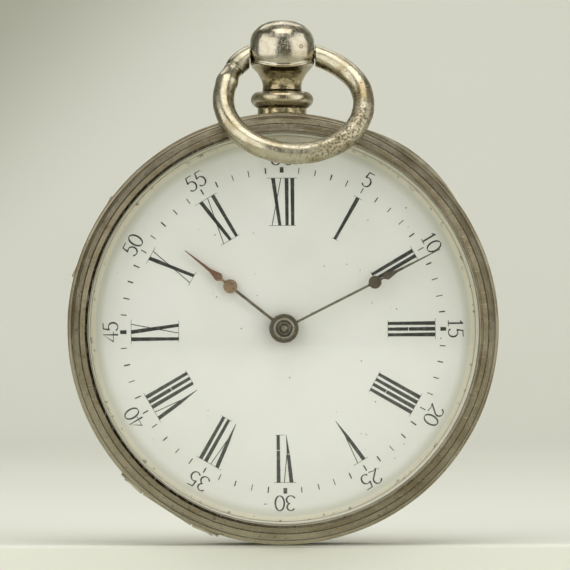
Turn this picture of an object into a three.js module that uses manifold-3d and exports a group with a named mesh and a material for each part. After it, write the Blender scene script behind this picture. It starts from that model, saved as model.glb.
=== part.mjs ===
// An open-faced silver fob watch with a key-wound bar movement and a cylinder escapement.
// Millimetres, +Z up towards the pendant. The dial faces -Y and three o'clock is +X.
// The origin is the middle of the back cover's flat outer face, on the axis of the hands.
// Inside, y = 0 is the middle of the case band: negative is towards the glass, positive towards the back.

import * as THREE from "three";
import { mergeVertices } from "three/addons/utils/BufferGeometryUtils.js";
import Module from "manifold-3d";

const wasm = await Module();
wasm.setup();

const TURN = 2 * Math.PI;
const DEGREE = Math.PI / 180;

// ---------------------------------------------------------------- driving dimensions
const CASE_R = 20; // outermost bead of the bezel and of the back cover
const RING_SIDES = 36;
const SEAM_FRONT = -2.2; // where the bezel meets the band
const SEAM_BACK = 2.4; // where the back cover meets the band
const BACK_FACE = 5.6; // the back cover's flat outer face
const CRYSTAL_APEX = -6.2;
const PLAY = 0.02; // air between two faces that rest on each other

const PENDANT_SIDES = 20;
const PIVOT_Z = 25.75; // the bow's pivot in the pendant knob
const KNOB_FLAT = 2.98; // half the width across the knob's two flats
const BOW_HALF_WIDTH = 6.49; // of the ring's centreline
const BOW_HALF_HEIGHT = 6.37;
const BOW_DROP = 6; // from the pivot to the ring's middle
const BOW_WIRE_R = 1.03;
const BOW_LEAN = 37.7; // degrees forward of hanging straight down, laid on the bezel
const BOW_SHIFT = 0.87; // the ring has been pulled this far off the pendant's middle

// Each hinge line is a tangent. Its clock is in degrees clockwise from twelve, seen from the front, and
// its radius is its distance from the axis of the hands. middle and end are half the lengths of the moving
// knuckle and of the whole tube, and side points from the cover to the band. The rim beyond the line
// swings within rim of it.
const BEZEL_HINGE = { clock: 212.8, radius: 19.55, y: SEAM_FRONT, side: 1, middle: 2.7, end: 5.3, rim: 0.66 };
const BACK_HINGE = { clock: 296, radius: 19.35, y: SEAM_BACK, side: -1, middle: 2.1, end: 4.2, rim: 0.78 };
const KNUCKLE_R = 0.42;
const KNUCKLE_PROUD = 0.28; // how far the fixed knuckles stand out of the case
const PIN_R = 0.18;
const CUVETTE_HINGE = { clock: 296, radius: 18.55, y: 2.78, knuckle: 0.36, middle: 1.6, end: 3, pin: 0.14 };
const BEZEL_LIP_CLOCK = 38;
const BACK_LIP_CLOCK = 116;

const DIAL_R = 17.8;
const DIAL_FRONT = -2.4;
const DIAL_BACK = -1.55;
const HOUR_HAND_CLOCK = 308.2;
const MINUTE_HAND_CLOCK = 63.1;

const PLATE_R = 17.2;
const PLATE_FRONT = -1.5;
const PLATE_BACK = 0.1;
const BAR_FRONT = 1.8;
const BAR_BACK = 2.6;
const SQUARE_END = 3.3;

// Each wheel of the train: tooth counts, module, and the slice of y that its rim fills.
const BARREL = { teeth: 72, module: 0.2, y: [0.55, 0.95] };
const CENTRE_PINION = { teeth: 10, module: 0.2, y: [0.45, 1.05] };
const CENTRE_WHEEL = { teeth: 64, module: 0.15, y: [1.2, 1.42] };
const THIRD_PINION = { teeth: 8, module: 0.15, y: [1.1, 1.55] };
const THIRD_WHEEL = { teeth: 60, module: 0.13, y: [0.35, 0.55] };
const FOURTH_PINION = { teeth: 8, module: 0.13, y: [0.25, 0.75] };
const FOURTH_WHEEL = { teeth: 60, module: 0.13, y: [0.85, 1.05] };
const ESCAPE_PINION = { teeth: 6, module: 0.13, y: [0.78, 1.14] };
const CANNON_PINION = { teeth: 12, module: 0.16, y: [-1.03, -0.68] };
const MINUTE_WHEEL = { teeth: 36, module: 0.16, y: [-0.95, -0.75] };
const MINUTE_PINION = { teeth: 10, module: 0.1536, y: [-1.42, -0.95] };
const HOUR_WHEEL = { teeth: 40, module: 0.1536, y: [-1.36, -1.16] };
const ESCAPE_TEETH = 15;
const ESCAPE_R = 2.35; // tip radius, a hair inside the cylinder
const ESCAPE_TO_BALANCE = 2.85;
const BALANCE_R = 5.6;
const RATCHET_TEETH = 24;
const RATCHET_R = 2.5;

// ---------------------------------------------------------------- solids
const bufferOf = (manifold) => {
  const mesh = manifold.getMesh();
  const positions = new Float32Array(mesh.numVert * 3);
  for (let i = 0; i < mesh.numVert; i++) {
    positions.set(mesh.vertProperties.subarray(i * mesh.numProp, i * mesh.numProp + 3), i * 3);
  }
  const geometry = new THREE.BufferGeometry();
  geometry.setAttribute("position", new THREE.BufferAttribute(positions, 3));
  geometry.setIndex(new THREE.BufferAttribute(new Uint32Array(mesh.triVerts), 1));
  return geometry;
};

const solidOf = (geometry) => {
  const flat = geometry.index ? geometry.toNonIndexed() : geometry.clone();
  flat.deleteAttribute("normal");
  flat.deleteAttribute("uv");
  const welded = mergeVertices(flat, 1e-4);
  return new wasm.Manifold(
    new wasm.Mesh({
      numProp: 3,
      vertProperties: welded.attributes.position.array,
      triVerts: new Uint32Array(welded.index.array),
    }),
  );
};

const join = (first, ...others) => bufferOf(others.reduce((sum, g) => sum.add(solidOf(g)), solidOf(first)));
const cut = (first, ...tools) => bufferOf(tools.reduce((sum, g) => sum.subtract(solidOf(g)), solidOf(first)));
const common = (first, second) => bufferOf(solidOf(first).intersect(solidOf(second)));

// A profile of [radius, y] turned about the watch's axis. Its order doesn't matter: the solid faces out.
const turned = (profile, sides = RING_SIDES) => {
  const points = profile.map(([r, y]) => new THREE.Vector2(r, y));
  if (THREE.ShapeUtils.area(points) < 0) points.reverse();
  const onAxis = points[0].x === 0 && points[points.length - 1].x === 0;
  if (!onAxis) points.push(points[0].clone());
  return new THREE.LatheGeometry(points, sides);
};

// The same for a piece turned about the pendant's upright axis, with a profile of [radius, z].
const turnedUpright = (profile, sides = PENDANT_SIDES) => turned(profile, sides).rotateX(Math.PI / 2);

const rod = (radius, [front, back], [x, z] = [0, 0], sides = 16) =>
  new THREE.CylinderGeometry(radius, radius, back - front, sides).translate(x, (front + back) / 2, z);

const block = (x, y, z) =>
  new THREE.BoxGeometry(x[1] - x[0], y[1] - y[0], z[1] - z[0]).translate(
    (x[0] + x[1]) / 2,
    (y[0] + y[1]) / 2,
    (z[0] + z[1]) / 2,
  );

// A flat outline drawn as seen from the front, x to the right and z up, with a thickness in y.
const plate = (outline, [front, back], holes = []) => {
  const shape = new THREE.Shape(outline.map(([x, z]) => new THREE.Vector2(x, z)));
  for (const hole of holes) shape.holes.push(new THREE.Path(hole.map(([x, z]) => new THREE.Vector2(x, z))));
  const slab = new THREE.ExtrudeGeometry(shape, { depth: back - front, bevelEnabled: false });
  return slab.rotateX(Math.PI / 2).translate(0, back, 0);
};

const arc = ([x, z], radius, from, to, steps) =>
  Array.from({ length: steps + 1 }, (_, i) => {
    const a = from + ((to - from) * i) / steps;
    return [x + radius * Math.cos(a), z + radius * Math.sin(a)];
  });

const circle = (centre, radius, sides) => arc(centre, radius, 0, TURN, sides).slice(0, sides);

// ---------------------------------------------------------------- places on the plate
const polar = (radius, angle, [x, z] = [0, 0]) => [
  x + radius * Math.cos(angle),
  z + radius * Math.sin(angle),
];
const heading = ([ax, az], [bx, bz]) => Math.atan2(bz - az, bx - ax);
const distance = ([ax, az], [bx, bz]) => Math.hypot(bx - ax, bz - az);
const atClock = (radius, clock) => [radius * Math.sin(clock * DEGREE), radius * Math.cos(clock * DEGREE)];
const gearing = (wheel, pinion) => ((wheel.teeth + pinion.teeth) * wheel.module) / 2;

// The point that lies ra from a and rb from b, on the right of the way from a to b.
const meeting = (a, ra, b, rb) => {
  const d = distance(a, b);
  const along = (ra * ra - rb * rb + d * d) / (2 * d);
  const aside = Math.sqrt(ra * ra - along * along);
  return polar(aside, heading(a, b) - Math.PI / 2, polar(along, heading(a, b), a));
};

const CENTRE = [0, 0];
const BARREL_AT = polar(gearing(BARREL, CENTRE_PINION), 65 * DEGREE);
const THIRD_AT = polar(gearing(CENTRE_WHEEL, THIRD_PINION), 235 * DEGREE);
const FOURTH_AT = polar(gearing(THIRD_WHEEL, FOURTH_PINION), -50 * DEGREE, THIRD_AT);
const BALANCE_AT = polar(11, -55 * DEGREE);
const ESCAPE_AT = meeting(FOURTH_AT, gearing(FOURTH_WHEEL, ESCAPE_PINION), BALANCE_AT, ESCAPE_TO_BALANCE);
const MINUTE_AT = polar(gearing(MINUTE_WHEEL, CANNON_PINION), 245 * DEGREE);
const CLICK_AT = polar(4, 158 * DEGREE, BARREL_AT);

// The outer end of each bar, where its foot stands on the plate and its screw goes down.
const FEET = {
  barrel_left: [-5.6, 11.3],
  barrel_right: [12.7, 5],
  centre: [14.9, -0.6],
  third: [-14.4, -3.9],
  fourth: [-8.6, -12.2],
  escape: [-0.7, -14.6],
  balance: [13.9, -5.3],
};
const DIAL_FEET = [12, 138, 262].map((clock) => atClock(15.9, clock));
const CASE_SCREWS = [284, 75].map((clock) => atClock(16.5, clock));

// ---------------------------------------------------------------- hinges
// In a hinge's own frame x runs clockwise along the tangent, y stays y, and z points outwards.
const hingeFrame = ({ clock, radius, y }) => {
  const a = clock * DEGREE;
  const outward = new THREE.Vector3(Math.sin(a), 0, Math.cos(a));
  const tangent = new THREE.Vector3(Math.cos(a), 0, -Math.sin(a));
  const frame = new THREE.Matrix4().makeBasis(tangent, new THREE.Vector3(0, 1, 0), outward);
  return frame.setPosition(outward.multiplyScalar(radius).setY(y));
};

const tubeAlong = (hinge, radius, [from, to], sides = 12) =>
  new THREE.CylinderGeometry(radius, radius, to - from, sides)
    .rotateZ(Math.PI / 2)
    .translate((from + to) / 2, 0, 0)
    .applyMatrix4(hingeFrame(hinge));

const blockAlong = (hinge, x, y, z) => block(x, y, z).applyMatrix4(hingeFrame(hinge));
const bothEnds = ([from, to]) => [
  [from, to],
  [-to, -from],
];

// ---------------------------------------------------------------- wheels and pinions
// A wheel's teeth are plain points, one of them pointing to toothAt.
const wheelOutline = ({ teeth, module }, centre, toothAt) => {
  const tip = (teeth * module) / 2 + 0.95 * module;
  const root = (teeth * module) / 2 - 1.25 * module;
  const points = [];
  for (let i = 0; i < teeth; i++) {
    points.push(polar(tip, toothAt + (i * TURN) / teeth, centre));
    points.push(polar(root, toothAt + ((i + 0.5) * TURN) / teeth, centre));
  }
  return points;
};

// A pinion's leaves are narrow, with a space between two of them at spaceAt.
const pinionOutline = ({ teeth, module }, centre, spaceAt) => {
  const tip = (teeth * module) / 2 + 0.7 * module;
  const root = (teeth * module) / 2 - 1.15 * module;
  const pitch = TURN / teeth;
  const points = [];
  for (let i = 0; i < teeth; i++) {
    const leaf = spaceAt + (i + 0.5) * pitch;
    points.push(polar(root, leaf - 0.16 * pitch, centre));
    points.push(polar(tip, leaf - 0.07 * pitch, centre));
    points.push(polar(tip, leaf + 0.07 * pitch, centre));
    points.push(polar(root, leaf + 0.16 * pitch, centre));
  }
  return points;
};

// The openings between a wheel's arms.
const crossings = (centre, inner, outer, arms, armWidth, startAt = 0) =>
  Array.from({ length: arms }, (_, i) => {
    const from = startAt + (i * TURN) / arms;
    const to = from + TURN / arms;
    const shrink = (radius) => Math.asin(armWidth / 2 / radius);
    return [
      ...arc(centre, outer, from + shrink(outer), to - shrink(outer), 5),
      ...arc(centre, inner, to - shrink(inner), from + shrink(inner), 2),
    ];
  });

const bored = (radius, centre) => circle(centre, radius, 16);

const armedWheel = (wheel, centre, toothAt, bore) => {
  const root = (wheel.teeth * wheel.module) / 2 - 1.25 * wheel.module;
  const openings = crossings(centre, bore + 0.55, root - 0.4, 5, 0.4, toothAt);
  return plate(wheelOutline(wheel, centre, toothAt), wheel.y, [...openings, bored(bore, centre)]);
};

// ---------------------------------------------------------------- materials
const material = (color, metalness, roughness) =>
  new THREE.MeshStandardMaterial({ color, metalness, roughness });
const SILVER = [0xa9a48f, 1, 0.38];
const BRIGHT_SILVER = [0xc2bba6, 1, 0.22];
const ENAMEL = [0xf1f0ea, 0, 0.18];
const GILT = [0xc9a75a, 1, 0.4];
const BRASS = [0xc4a04c, 1, 0.3];
const STEEL = [0x8f9093, 1, 0.25];
const BLUED = [0x27355e, 1, 0.25];
const HAND_STEEL = [0x4a4540, 1, 0.45];
const HAND_COPPER = [0x7b4a3c, 1, 0.5];
const RUBY = [0xa52040, 0, 0.1];
const GLASS = [0xdfe6e2, 0, 0.05];

const watch = new THREE.Group();
const add = (name, finish, geometry) => {
  const mesh = new THREE.Mesh(geometry, material(...finish));
  mesh.name = name;
  watch.add(mesh);
  return mesh;
};

// ---------------------------------------------------------------- case
const bandRing = turned([
  [17.9, -2.58],
  [18.85, -2.58],
  [18.85, SEAM_FRONT + PLAY],
  [19.7, SEAM_FRONT + PLAY],
  [19.8, -1.6],
  [19.8, 1.8],
  [19.7, SEAM_BACK - PLAY],
  [18.85, SEAM_BACK - PLAY],
  [18.85, 2.78],
  [18.3, 2.78],
  [18.3, 2.2],
  [17.7, 2.2],
  [17.7, 0.14],
  [17.3, 0.14],
  [17.3, -1.04],
  [17.9, -1.04],
]);

// Towards the band, from near to far of a hinge line.
const bandward = ({ side }, near, far) => (side > 0 ? [near, far] : [-far, -near]);

// A notch in the band, for the part of the cover's rim that lies outside the hinge line and swings inwards.
const rimNotch = (hinge) => {
  const crossing = Math.sqrt(CASE_R ** 2 - hinge.radius ** 2) + 0.15;
  return blockAlong(hinge, [-crossing, crossing], bandward(hinge, -0.1, hinge.rim), [0, 1.2]);
};

// Two fixed knuckles, each on a block that stands on the band. Their outer corners are filed round.
const filedRound = (geometry) => common(geometry, rod(CASE_R + KNUCKLE_PROUD, [-5, 5], CENTRE, 96));
const hingeSeats = (hinge) =>
  bothEnds([hinge.middle + 0.05, hinge.end]).flatMap((span) => [
    filedRound(tubeAlong(hinge, KNUCKLE_R, span)),
    blockAlong(hinge, span, bandward(hinge, PLAY, 1.1), [-1.2, -0.02]),
  ]);
const movingRoom = (hinge) => tubeAlong(hinge, KNUCKLE_R + 0.07, [-hinge.middle, hinge.middle]);
const pinBore = (hinge, pinR) => tubeAlong(hinge, pinR + 0.06, [-7, 7], 8);

const cuvetteEnds = bothEnds([CUVETTE_HINGE.middle + 0.1, CUVETTE_HINGE.end]);
const bandWithHinges = join(
  cut(bandRing, rimNotch(BEZEL_HINGE), rimNotch(BACK_HINGE)),
  ...hingeSeats(BEZEL_HINGE),
  ...hingeSeats(BACK_HINGE),
  ...cuvetteEnds.map((span) => tubeAlong(CUVETTE_HINGE, CUVETTE_HINGE.knuckle, span)),
);
const cuvetteMiddle = [-CUVETTE_HINGE.middle, CUVETTE_HINGE.middle];
const cuvetteRoom = [-CUVETTE_HINGE.middle - 0.05, CUVETTE_HINGE.middle + 0.05];
add(
  "case_band",
  SILVER,
  cut(
    bandWithHinges,
    movingRoom(BEZEL_HINGE),
    movingRoom(BACK_HINGE),
    blockAlong(CUVETTE_HINGE, cuvetteRoom, [-0.5, 0.5], [-0.6, 0.5]),
    pinBore(BEZEL_HINGE, PIN_R),
    pinBore(BACK_HINGE, PIN_R),
    pinBore(CUVETTE_HINGE, CUVETTE_HINGE.pin),
  ),
);

// A thin crescent proud of a rim, for a thumbnail. It is a disc set off centre, less the rim's own inside.
const thumbLip = (clock, [front, back]) => {
  const discR = 14;
  const offset = CASE_R + 0.35 - discR;
  const disc = rod(discR, [front, back], atClock(offset, clock), 48);
  return cut(disc, rod(CASE_R - 0.6, [front - 1, back + 1], CENTRE, RING_SIDES));
};

// The moving knuckle and the room for the two fixed ones.
const hingedCover = (ring, hinge, ...extras) =>
  cut(
    join(ring, tubeAlong(hinge, KNUCKLE_R, [-hinge.middle + 0.05, hinge.middle - 0.05]), ...extras),
    ...bothEnds([hinge.middle, hinge.end + 0.15]).map((span) => tubeAlong(hinge, KNUCKLE_R + 0.07, span)),
    pinBore(hinge, PIN_R),
  );

const CRYSTAL_SEAT_R = 18.36;
const bezelRing = turned([
  [18.1, -4.44],
  [18.16, -4.66],
  [18.36, -4.62],
  [18.46, -4.48],
  [18.86, -4.34],
  [18.96, -4.18],
  [19.4, -3.66],
  [19.74, -2.94],
  [CASE_R, -2.62],
  [19.84, SEAM_FRONT - PLAY],
  [18.92, SEAM_FRONT - PLAY],
  [18.92, -2.64],
  [17.95, -2.64],
  [17.95, -4],
  [CRYSTAL_SEAT_R, -4],
  [CRYSTAL_SEAT_R, -4.44],
]);
add("bezel", SILVER, hingedCover(bezelRing, BEZEL_HINGE, thumbLip(BEZEL_LIP_CLOCK, [-2.9, -2.4])));

// The glass is a shallow dome with an edge that snaps under the bezel's lip.
const dome = (apex, rim, rimR, steps) =>
  Array.from({ length: steps + 1 }, (_, i) => {
    const r = (rimR * i) / steps;
    return [r, apex + (rim - apex) * (r / rimR) ** 2];
  });
const CRYSTAL_EDGE = { radius: 18.31, front: -4.4, back: -4.04 };
add(
  "crystal",
  GLASS,
  turned([
    ...dome(CRYSTAL_APEX, CRYSTAL_EDGE.front, 18.02, 4),
    [CRYSTAL_EDGE.radius, CRYSTAL_EDGE.front],
    [CRYSTAL_EDGE.radius, CRYSTAL_EDGE.back],
    ...dome(CRYSTAL_APEX + 0.7, CRYSTAL_EDGE.back, 17.6, 3).reverse(),
  ]),
);

const cuvetteSpan = [-CUVETTE_HINGE.end - 0.15, CUVETTE_HINGE.end + 0.15];
const backShell = turned([
  [0, 4.98],
  [8, 4.98],
  [13, 4.7],
  [16.5, 4.2],
  [18.3, 3.6],
  [18.92, 3],
  [18.92, SEAM_BACK + PLAY],
  [19.84, SEAM_BACK + PLAY],
  [CASE_R, 2.76],
  [19.82, 3.05],
  [19.5, 3.5],
  [18.4, 4.3],
  [16.5, 4.88],
  [13, 5.34],
  [8, BACK_FACE],
  [0, BACK_FACE],
]);
add(
  "back_cover",
  SILVER,
  cut(
    hingedCover(backShell, BACK_HINGE, thumbLip(BACK_LIP_CLOCK, [2.6, 3])),
    blockAlong(BACK_HINGE, [-5, 5], [-0.2, 0.6], [-0.95, -0.3]),
    tubeAlong(CUVETTE_HINGE, CUVETTE_HINGE.knuckle + 0.1, cuvetteSpan),
  ),
);

const cuvetteShell = turned([
  [0, 3.45],
  [15.6, 3.45],
  [16.9, 2.95],
  [17.3, 2.24],
  [18.15, 2.24],
  [18.15, 2.6],
  [17.62, 2.66],
  [17.2, 3.3],
  [15.9, 3.85],
  [0, 3.85],
]);
const KEY_HOLE_R = 1.1;
add(
  "cuvette",
  SILVER,
  cut(
    join(
      cuvetteShell,
      tubeAlong(CUVETTE_HINGE, CUVETTE_HINGE.knuckle, cuvetteMiddle),
      blockAlong(CUVETTE_HINGE, cuvetteMiddle, [-0.35, -0.02], [-0.7, 0]),
    ),
    rod(KEY_HOLE_R, [3, 4.5], CENTRE),
    rod(KEY_HOLE_R, [3, 4.5], BARREL_AT),
    pinBore(CUVETTE_HINGE, CUVETTE_HINGE.pin),
  ),
);

const PIN_SHORT = 0.5; // each pin ends this far inside its tube
const hingePin = (hinge, radius) =>
  tubeAlong(hinge, radius, [-hinge.end + PIN_SHORT, hinge.end - PIN_SHORT], 10);
add("bezel_hinge_pin", STEEL, hingePin(BEZEL_HINGE, PIN_R));
add("back_hinge_pin", STEEL, hingePin(BACK_HINGE, PIN_R));
add("cuvette_hinge_pin", STEEL, hingePin(CUVETTE_HINGE, CUVETTE_HINGE.pin));

// ---------------------------------------------------------------- pendant and bow
const SPIGOT_R = 1.18;
const BEAD = { middle: [2.18, 21.35], radius: 0.74 };
const neckBlank = turnedUpright([
  [SPIGOT_R + 0.05, 18.9],
  [2.27, 18.9],
  [2.27, 20.5],
  ...arc(BEAD.middle, BEAD.radius, -70 * DEGREE, 70 * DEGREE, 6),
  [1.9, 22.12],
  [SPIGOT_R + 0.05, 22.12],
]);
add(
  "pendant_neck",
  BRIGHT_SILVER,
  cut(
    neckBlank,
    rod(19.86, [-3, 3], CENTRE, RING_SIDES),
    rod(CASE_R + 0.1, [-6, SEAM_FRONT + 0.1], CENTRE, RING_SIDES),
    rod(CASE_R + 0.1, [SEAM_BACK - 0.1, 6], CENTRE, RING_SIDES),
  ),
);

const knobBlank = turnedUpright([
  [0, 20.05],
  [SPIGOT_R, 20.05],
  [SPIGOT_R, 22.16],
  [1.88, 22.16],
  [1.78, 22.5],
  [1.86, 23.05],
  [2.3, 23.85],
  [2.98, 24.42],
  [3.08, 24.62],
  [3.16, 25.12],
  [3.2, 25.85],
  [3.1, 26.75],
  [2.75, 27.6],
  [2.1, 28.27],
  [1.2, 28.67],
  [0, 28.8],
]);
const PIVOT_R = 0.55;
const alongX = (radius, [from, to], sides = 12) =>
  new THREE.CylinderGeometry(radius, radius, to - from, sides)
    .rotateZ(Math.PI / 2)
    .translate((from + to) / 2, 0, PIVOT_Z);
add(
  "pendant_knob",
  BRIGHT_SILVER,
  cut(
    common(knobBlank, block([-KNOB_FLAT, KNOB_FLAT], [-4, 4], [19, 29])),
    ...bothEnds([1.7, 4]).map((span) => alongX(PIVOT_R + 0.07, span)),
  ),
);

// The ring's centreline in its own plane: an ellipse below the pivot, open where the knob is.
// It is pulled to one side all round, except near its two ends, which stay at the knob.
class BowLine extends THREE.Curve {
  getPoint(t, target = new THREE.Vector3()) {
    const degrees = (t * 2 - 1) * 160;
    const towardsEnd = THREE.MathUtils.clamp((Math.abs(degrees) - 100) / 70, 0, 1);
    const shift = (BOW_SHIFT * (1 + Math.cos(Math.PI * towardsEnd))) / 2;
    const a = degrees * DEGREE;
    return target.set(BOW_HALF_WIDTH * Math.sin(a) + shift, 0, -BOW_DROP - BOW_HALF_HEIGHT * Math.cos(a));
  }
}
const bowWire = new THREE.ExtrudeGeometry(
  new THREE.Shape(circle(CENTRE, BOW_WIRE_R, 8).map(([x, y]) => new THREE.Vector2(x, y))),
  { steps: 32, extrudePath: new BowLine(), bevelEnabled: false },
)
  .rotateX(-BOW_LEAN * DEGREE)
  .translate(0, 0, PIVOT_Z);
const WIRE_END = 3.1; // the wire stops just outside the knob's flats, and thinner pivots go in
add(
  "bow",
  BRIGHT_SILVER,
  join(
    cut(bowWire, block([-WIRE_END, WIRE_END], [-3, 3], [PIVOT_Z - 3, PIVOT_Z + 3])),
    ...bothEnds([1.8, 3.6]).map((span) => alongX(PIVOT_R, span)),
  ),
);

// ---------------------------------------------------------------- dial and hands
const DIAL_HOLE_R = 1.15;
const DIAL_FOOT_R = 0.4;
add(
  "dial",
  ENAMEL,
  cut(
    join(
      turned([
        [0, DIAL_FRONT],
        [DIAL_R - 0.25, DIAL_FRONT],
        [DIAL_R, DIAL_FRONT + 0.25],
        [DIAL_R, DIAL_BACK],
        [0, DIAL_BACK],
      ]),
      ...DIAL_FEET.map((at) => rod(DIAL_FOOT_R, [DIAL_BACK - 0.2, -0.3], at, 10)),
    ),
    rod(DIAL_HOLE_R, [-3, -1], CENTRE, 24),
  ),
);

// A hand points up before it is turned: a ring at the arbor, a thin bar, a disc, barbs and a long point.
const handBlank = ({ length, discAt, discR, barbAt, barbHalf, barHalf, bossR, bore, y, boss }) => {
  const bar = [
    [-barHalf, bossR * 0.8],
    [barHalf, bossR * 0.8],
    [barHalf, discAt],
    [barHalf * 0.8, barbAt - 0.9],
    [barbHalf, barbAt - 0.55],
    [barHalf * 1.2, barbAt + 0.5],
    [0.03, length],
    [-0.03, length],
    [-barHalf * 1.2, barbAt + 0.5],
    [-barbHalf, barbAt - 0.55],
    [-barHalf * 0.8, barbAt - 0.9],
    [-barHalf, discAt],
  ];
  return cut(
    join(plate(bar, y), rod(discR, y, [0, discAt], 16), rod(bossR, boss, CENTRE, 24)),
    rod(bore, [boss[0] - 1, boss[1] + 1], CENTRE, 16),
  );
};
const CANNON_R = 0.65;
const HOUR_PIPE_R = 0.96;
const hourHand = {
  length: 11.65,
  discAt: 6.3,
  discR: 0.65,
  barbAt: 8.15,
  barbHalf: 0.42,
  barHalf: 0.16,
  bossR: 1.34,
  bore: HOUR_PIPE_R + 0.02,
  y: [-2.92, -2.78],
  boss: [-3.02, -2.68],
};
const minuteHand = {
  length: 16.2,
  discAt: 9.45,
  discR: 0.6,
  barbAt: 11.2,
  barbHalf: 0.36,
  barHalf: 0.14,
  bossR: 1.34,
  bore: CANNON_R + 0.02,
  y: [-3.5, -3.36],
  boss: [-3.72, -3.24],
};
add("hour_hand", HAND_COPPER, handBlank(hourHand).rotateY(HOUR_HAND_CLOCK * DEGREE));
add("minute_hand", HAND_STEEL, handBlank(minuteHand).rotateY(MINUTE_HAND_CLOCK * DEGREE));

// ---------------------------------------------------------------- motion work, under the dial
const SETTING_R = 0.36; // the setting arbor, which goes through the hollow centre pinion
const toMinute = heading(CENTRE, MINUTE_AT);
add(
  "cannon_pinion",
  STEEL,
  cut(
    join(
      plate(pinionOutline(CANNON_PINION, CENTRE, toMinute), CANNON_PINION.y),
      rod(CANNON_R, [-3.85, CANNON_PINION.y[0] + 0.1], CENTRE, 16),
    ),
    rod(SETTING_R + 0.03, [-5, 0], CENTRE, 16),
  ),
);
add(
  "hour_wheel",
  BRASS,
  cut(
    join(
      plate(wheelOutline(HOUR_WHEEL, CENTRE, toMinute), HOUR_WHEEL.y),
      rod(HOUR_PIPE_R, [-3.08, HOUR_WHEEL.y[0] + 0.1], CENTRE, 16),
    ),
    rod(CANNON_R + 0.06, [-5, 0], CENTRE, 16),
  ),
);
add(
  "minute_wheel",
  BRASS,
  cut(
    join(
      plate(wheelOutline(MINUTE_WHEEL, MINUTE_AT, toMinute + Math.PI), MINUTE_WHEEL.y),
      plate(pinionOutline(MINUTE_PINION, MINUTE_AT, toMinute + Math.PI), MINUTE_PINION.y),
    ),
    rod(0.36, [-2, 0], MINUTE_AT, 12),
  ),
);

// ---------------------------------------------------------------- main plate
const SCREW = { shank: 0.32, head: 0.7, headDepth: 0.33, depth: -0.6 };
const BARREL_SINK = -0.3;
const MOTION_FLOOR = -0.62;
const PIVOT_HOLE_R = 0.16;
const footHoles = Object.values(FEET).map((at) => rod(SCREW.shank + 0.06, [SCREW.depth - 0.1, 1], at, 8));
const plateBlank = join(
  cut(
    turned([
      [0, PLATE_FRONT],
      [17.8, PLATE_FRONT],
      [17.8, -1.08],
      [PLATE_R, -1.08],
      [PLATE_R, PLATE_BACK],
      [0, PLATE_BACK],
    ]),
    rod(1.35, [-2, MOTION_FLOOR], CENTRE, 16),
    rod(3.35, [-2, -1.08], CENTRE, 24),
    rod(3.25, [-2, MOTION_FLOOR], MINUTE_AT, 24),
    rod(7.6, [BARREL_SINK, 1], BARREL_AT, 32),
  ),
  rod(0.3, [-1.4, MOTION_FLOOR + 0.1], MINUTE_AT, 12),
);
add(
  "main_plate",
  GILT,
  cut(
    plateBlank,
    rod(0.6, [-2, 1], CENTRE, 12),
    rod(0.62, [-2, 1], BARREL_AT, 12),
    ...[THIRD_AT, FOURTH_AT, ESCAPE_AT, BALANCE_AT].map((at) => rod(PIVOT_HOLE_R, [-2, 1], at, 8)),
    ...DIAL_FEET.map((at) => rod(DIAL_FOOT_R + 0.08, [-2, -0.2], at, 8)),
    ...CASE_SCREWS.map((at) => rod(SCREW.shank + 0.06, [SCREW.depth - 0.1, 1], at, 8)),
    ...footHoles,
  ),
);

// ---------------------------------------------------------------- bars and bridges
// A bar with round ends from one point to another, wider or narrower at its far end.
const barOutline = (from, to, fromR, toR) => {
  const way = heading(from, to);
  return [
    ...arc(from, fromR, way + Math.PI / 2, way + 1.5 * Math.PI, 6),
    ...arc(to, toR, way - Math.PI / 2, way + Math.PI / 2, 6),
  ];
};
const screwSeat = (at, top) => [
  rod(SCREW.shank + 0.06, [PLATE_BACK - 1, top + 1], at, 8),
  rod(SCREW.head + 0.07, [top - SCREW.headDepth - PLAY, top + 1], at, 12),
];
const screw = (at, top) =>
  cut(
    join(
      rod(SCREW.shank, [SCREW.depth, top - 0.1], at, 8),
      rod(SCREW.head, [top - SCREW.headDepth, top], at, 12),
    ),
    block([at[0] - 1, at[0] + 1], [top - 0.14, top + 1], [at[1] - 0.08, at[1] + 0.08]),
  );
const footStands = (at, radius, front) => rod(radius, [PLATE_BACK + PLAY, front + 0.1], at, 12);

const BARS = [
  { name: "centre_bridge", pivot: CENTRE, foot: FEET.centre, ends: [1.9, 1.5], hole: 0.6 },
  { name: "third_bridge", pivot: THIRD_AT, foot: FEET.third, ends: [1.1, 1.4], hole: PIVOT_HOLE_R },
  { name: "fourth_bridge", pivot: FOURTH_AT, foot: FEET.fourth, ends: [0.72, 1.4], hole: PIVOT_HOLE_R },
];
for (const { name, pivot, foot, ends, hole } of BARS) {
  const bar = plate(barOutline(pivot, foot, ...ends), [BAR_FRONT, BAR_BACK]);
  const post = footStands(foot, ends[1] - 0.1, BAR_FRONT);
  add(name, GILT, cut(join(bar, post), rod(hole, [0, 4], pivot, 12), ...screwSeat(foot, BAR_BACK)));
}

const BARREL_POST_R = 1.2;
add(
  "barrel_bridge",
  GILT,
  cut(
    join(
      plate(barOutline(FEET.barrel_left, BARREL_AT, 1.5, 3.4), [BAR_FRONT, BAR_BACK]),
      plate(barOutline(BARREL_AT, FEET.barrel_right, 3.4, 1.5), [BAR_FRONT, BAR_BACK]),
      footStands(FEET.barrel_left, BARREL_POST_R, BAR_FRONT),
      footStands(FEET.barrel_right, BARREL_POST_R, BAR_FRONT),
    ),
    rod(0.78, [0, 4], BARREL_AT, 16),
    ...screwSeat(FEET.barrel_left, BAR_BACK),
    ...screwSeat(FEET.barrel_right, BAR_BACK),
    rod(0.3, [2, 4], CLICK_AT, 8),
  ),
);

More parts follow.
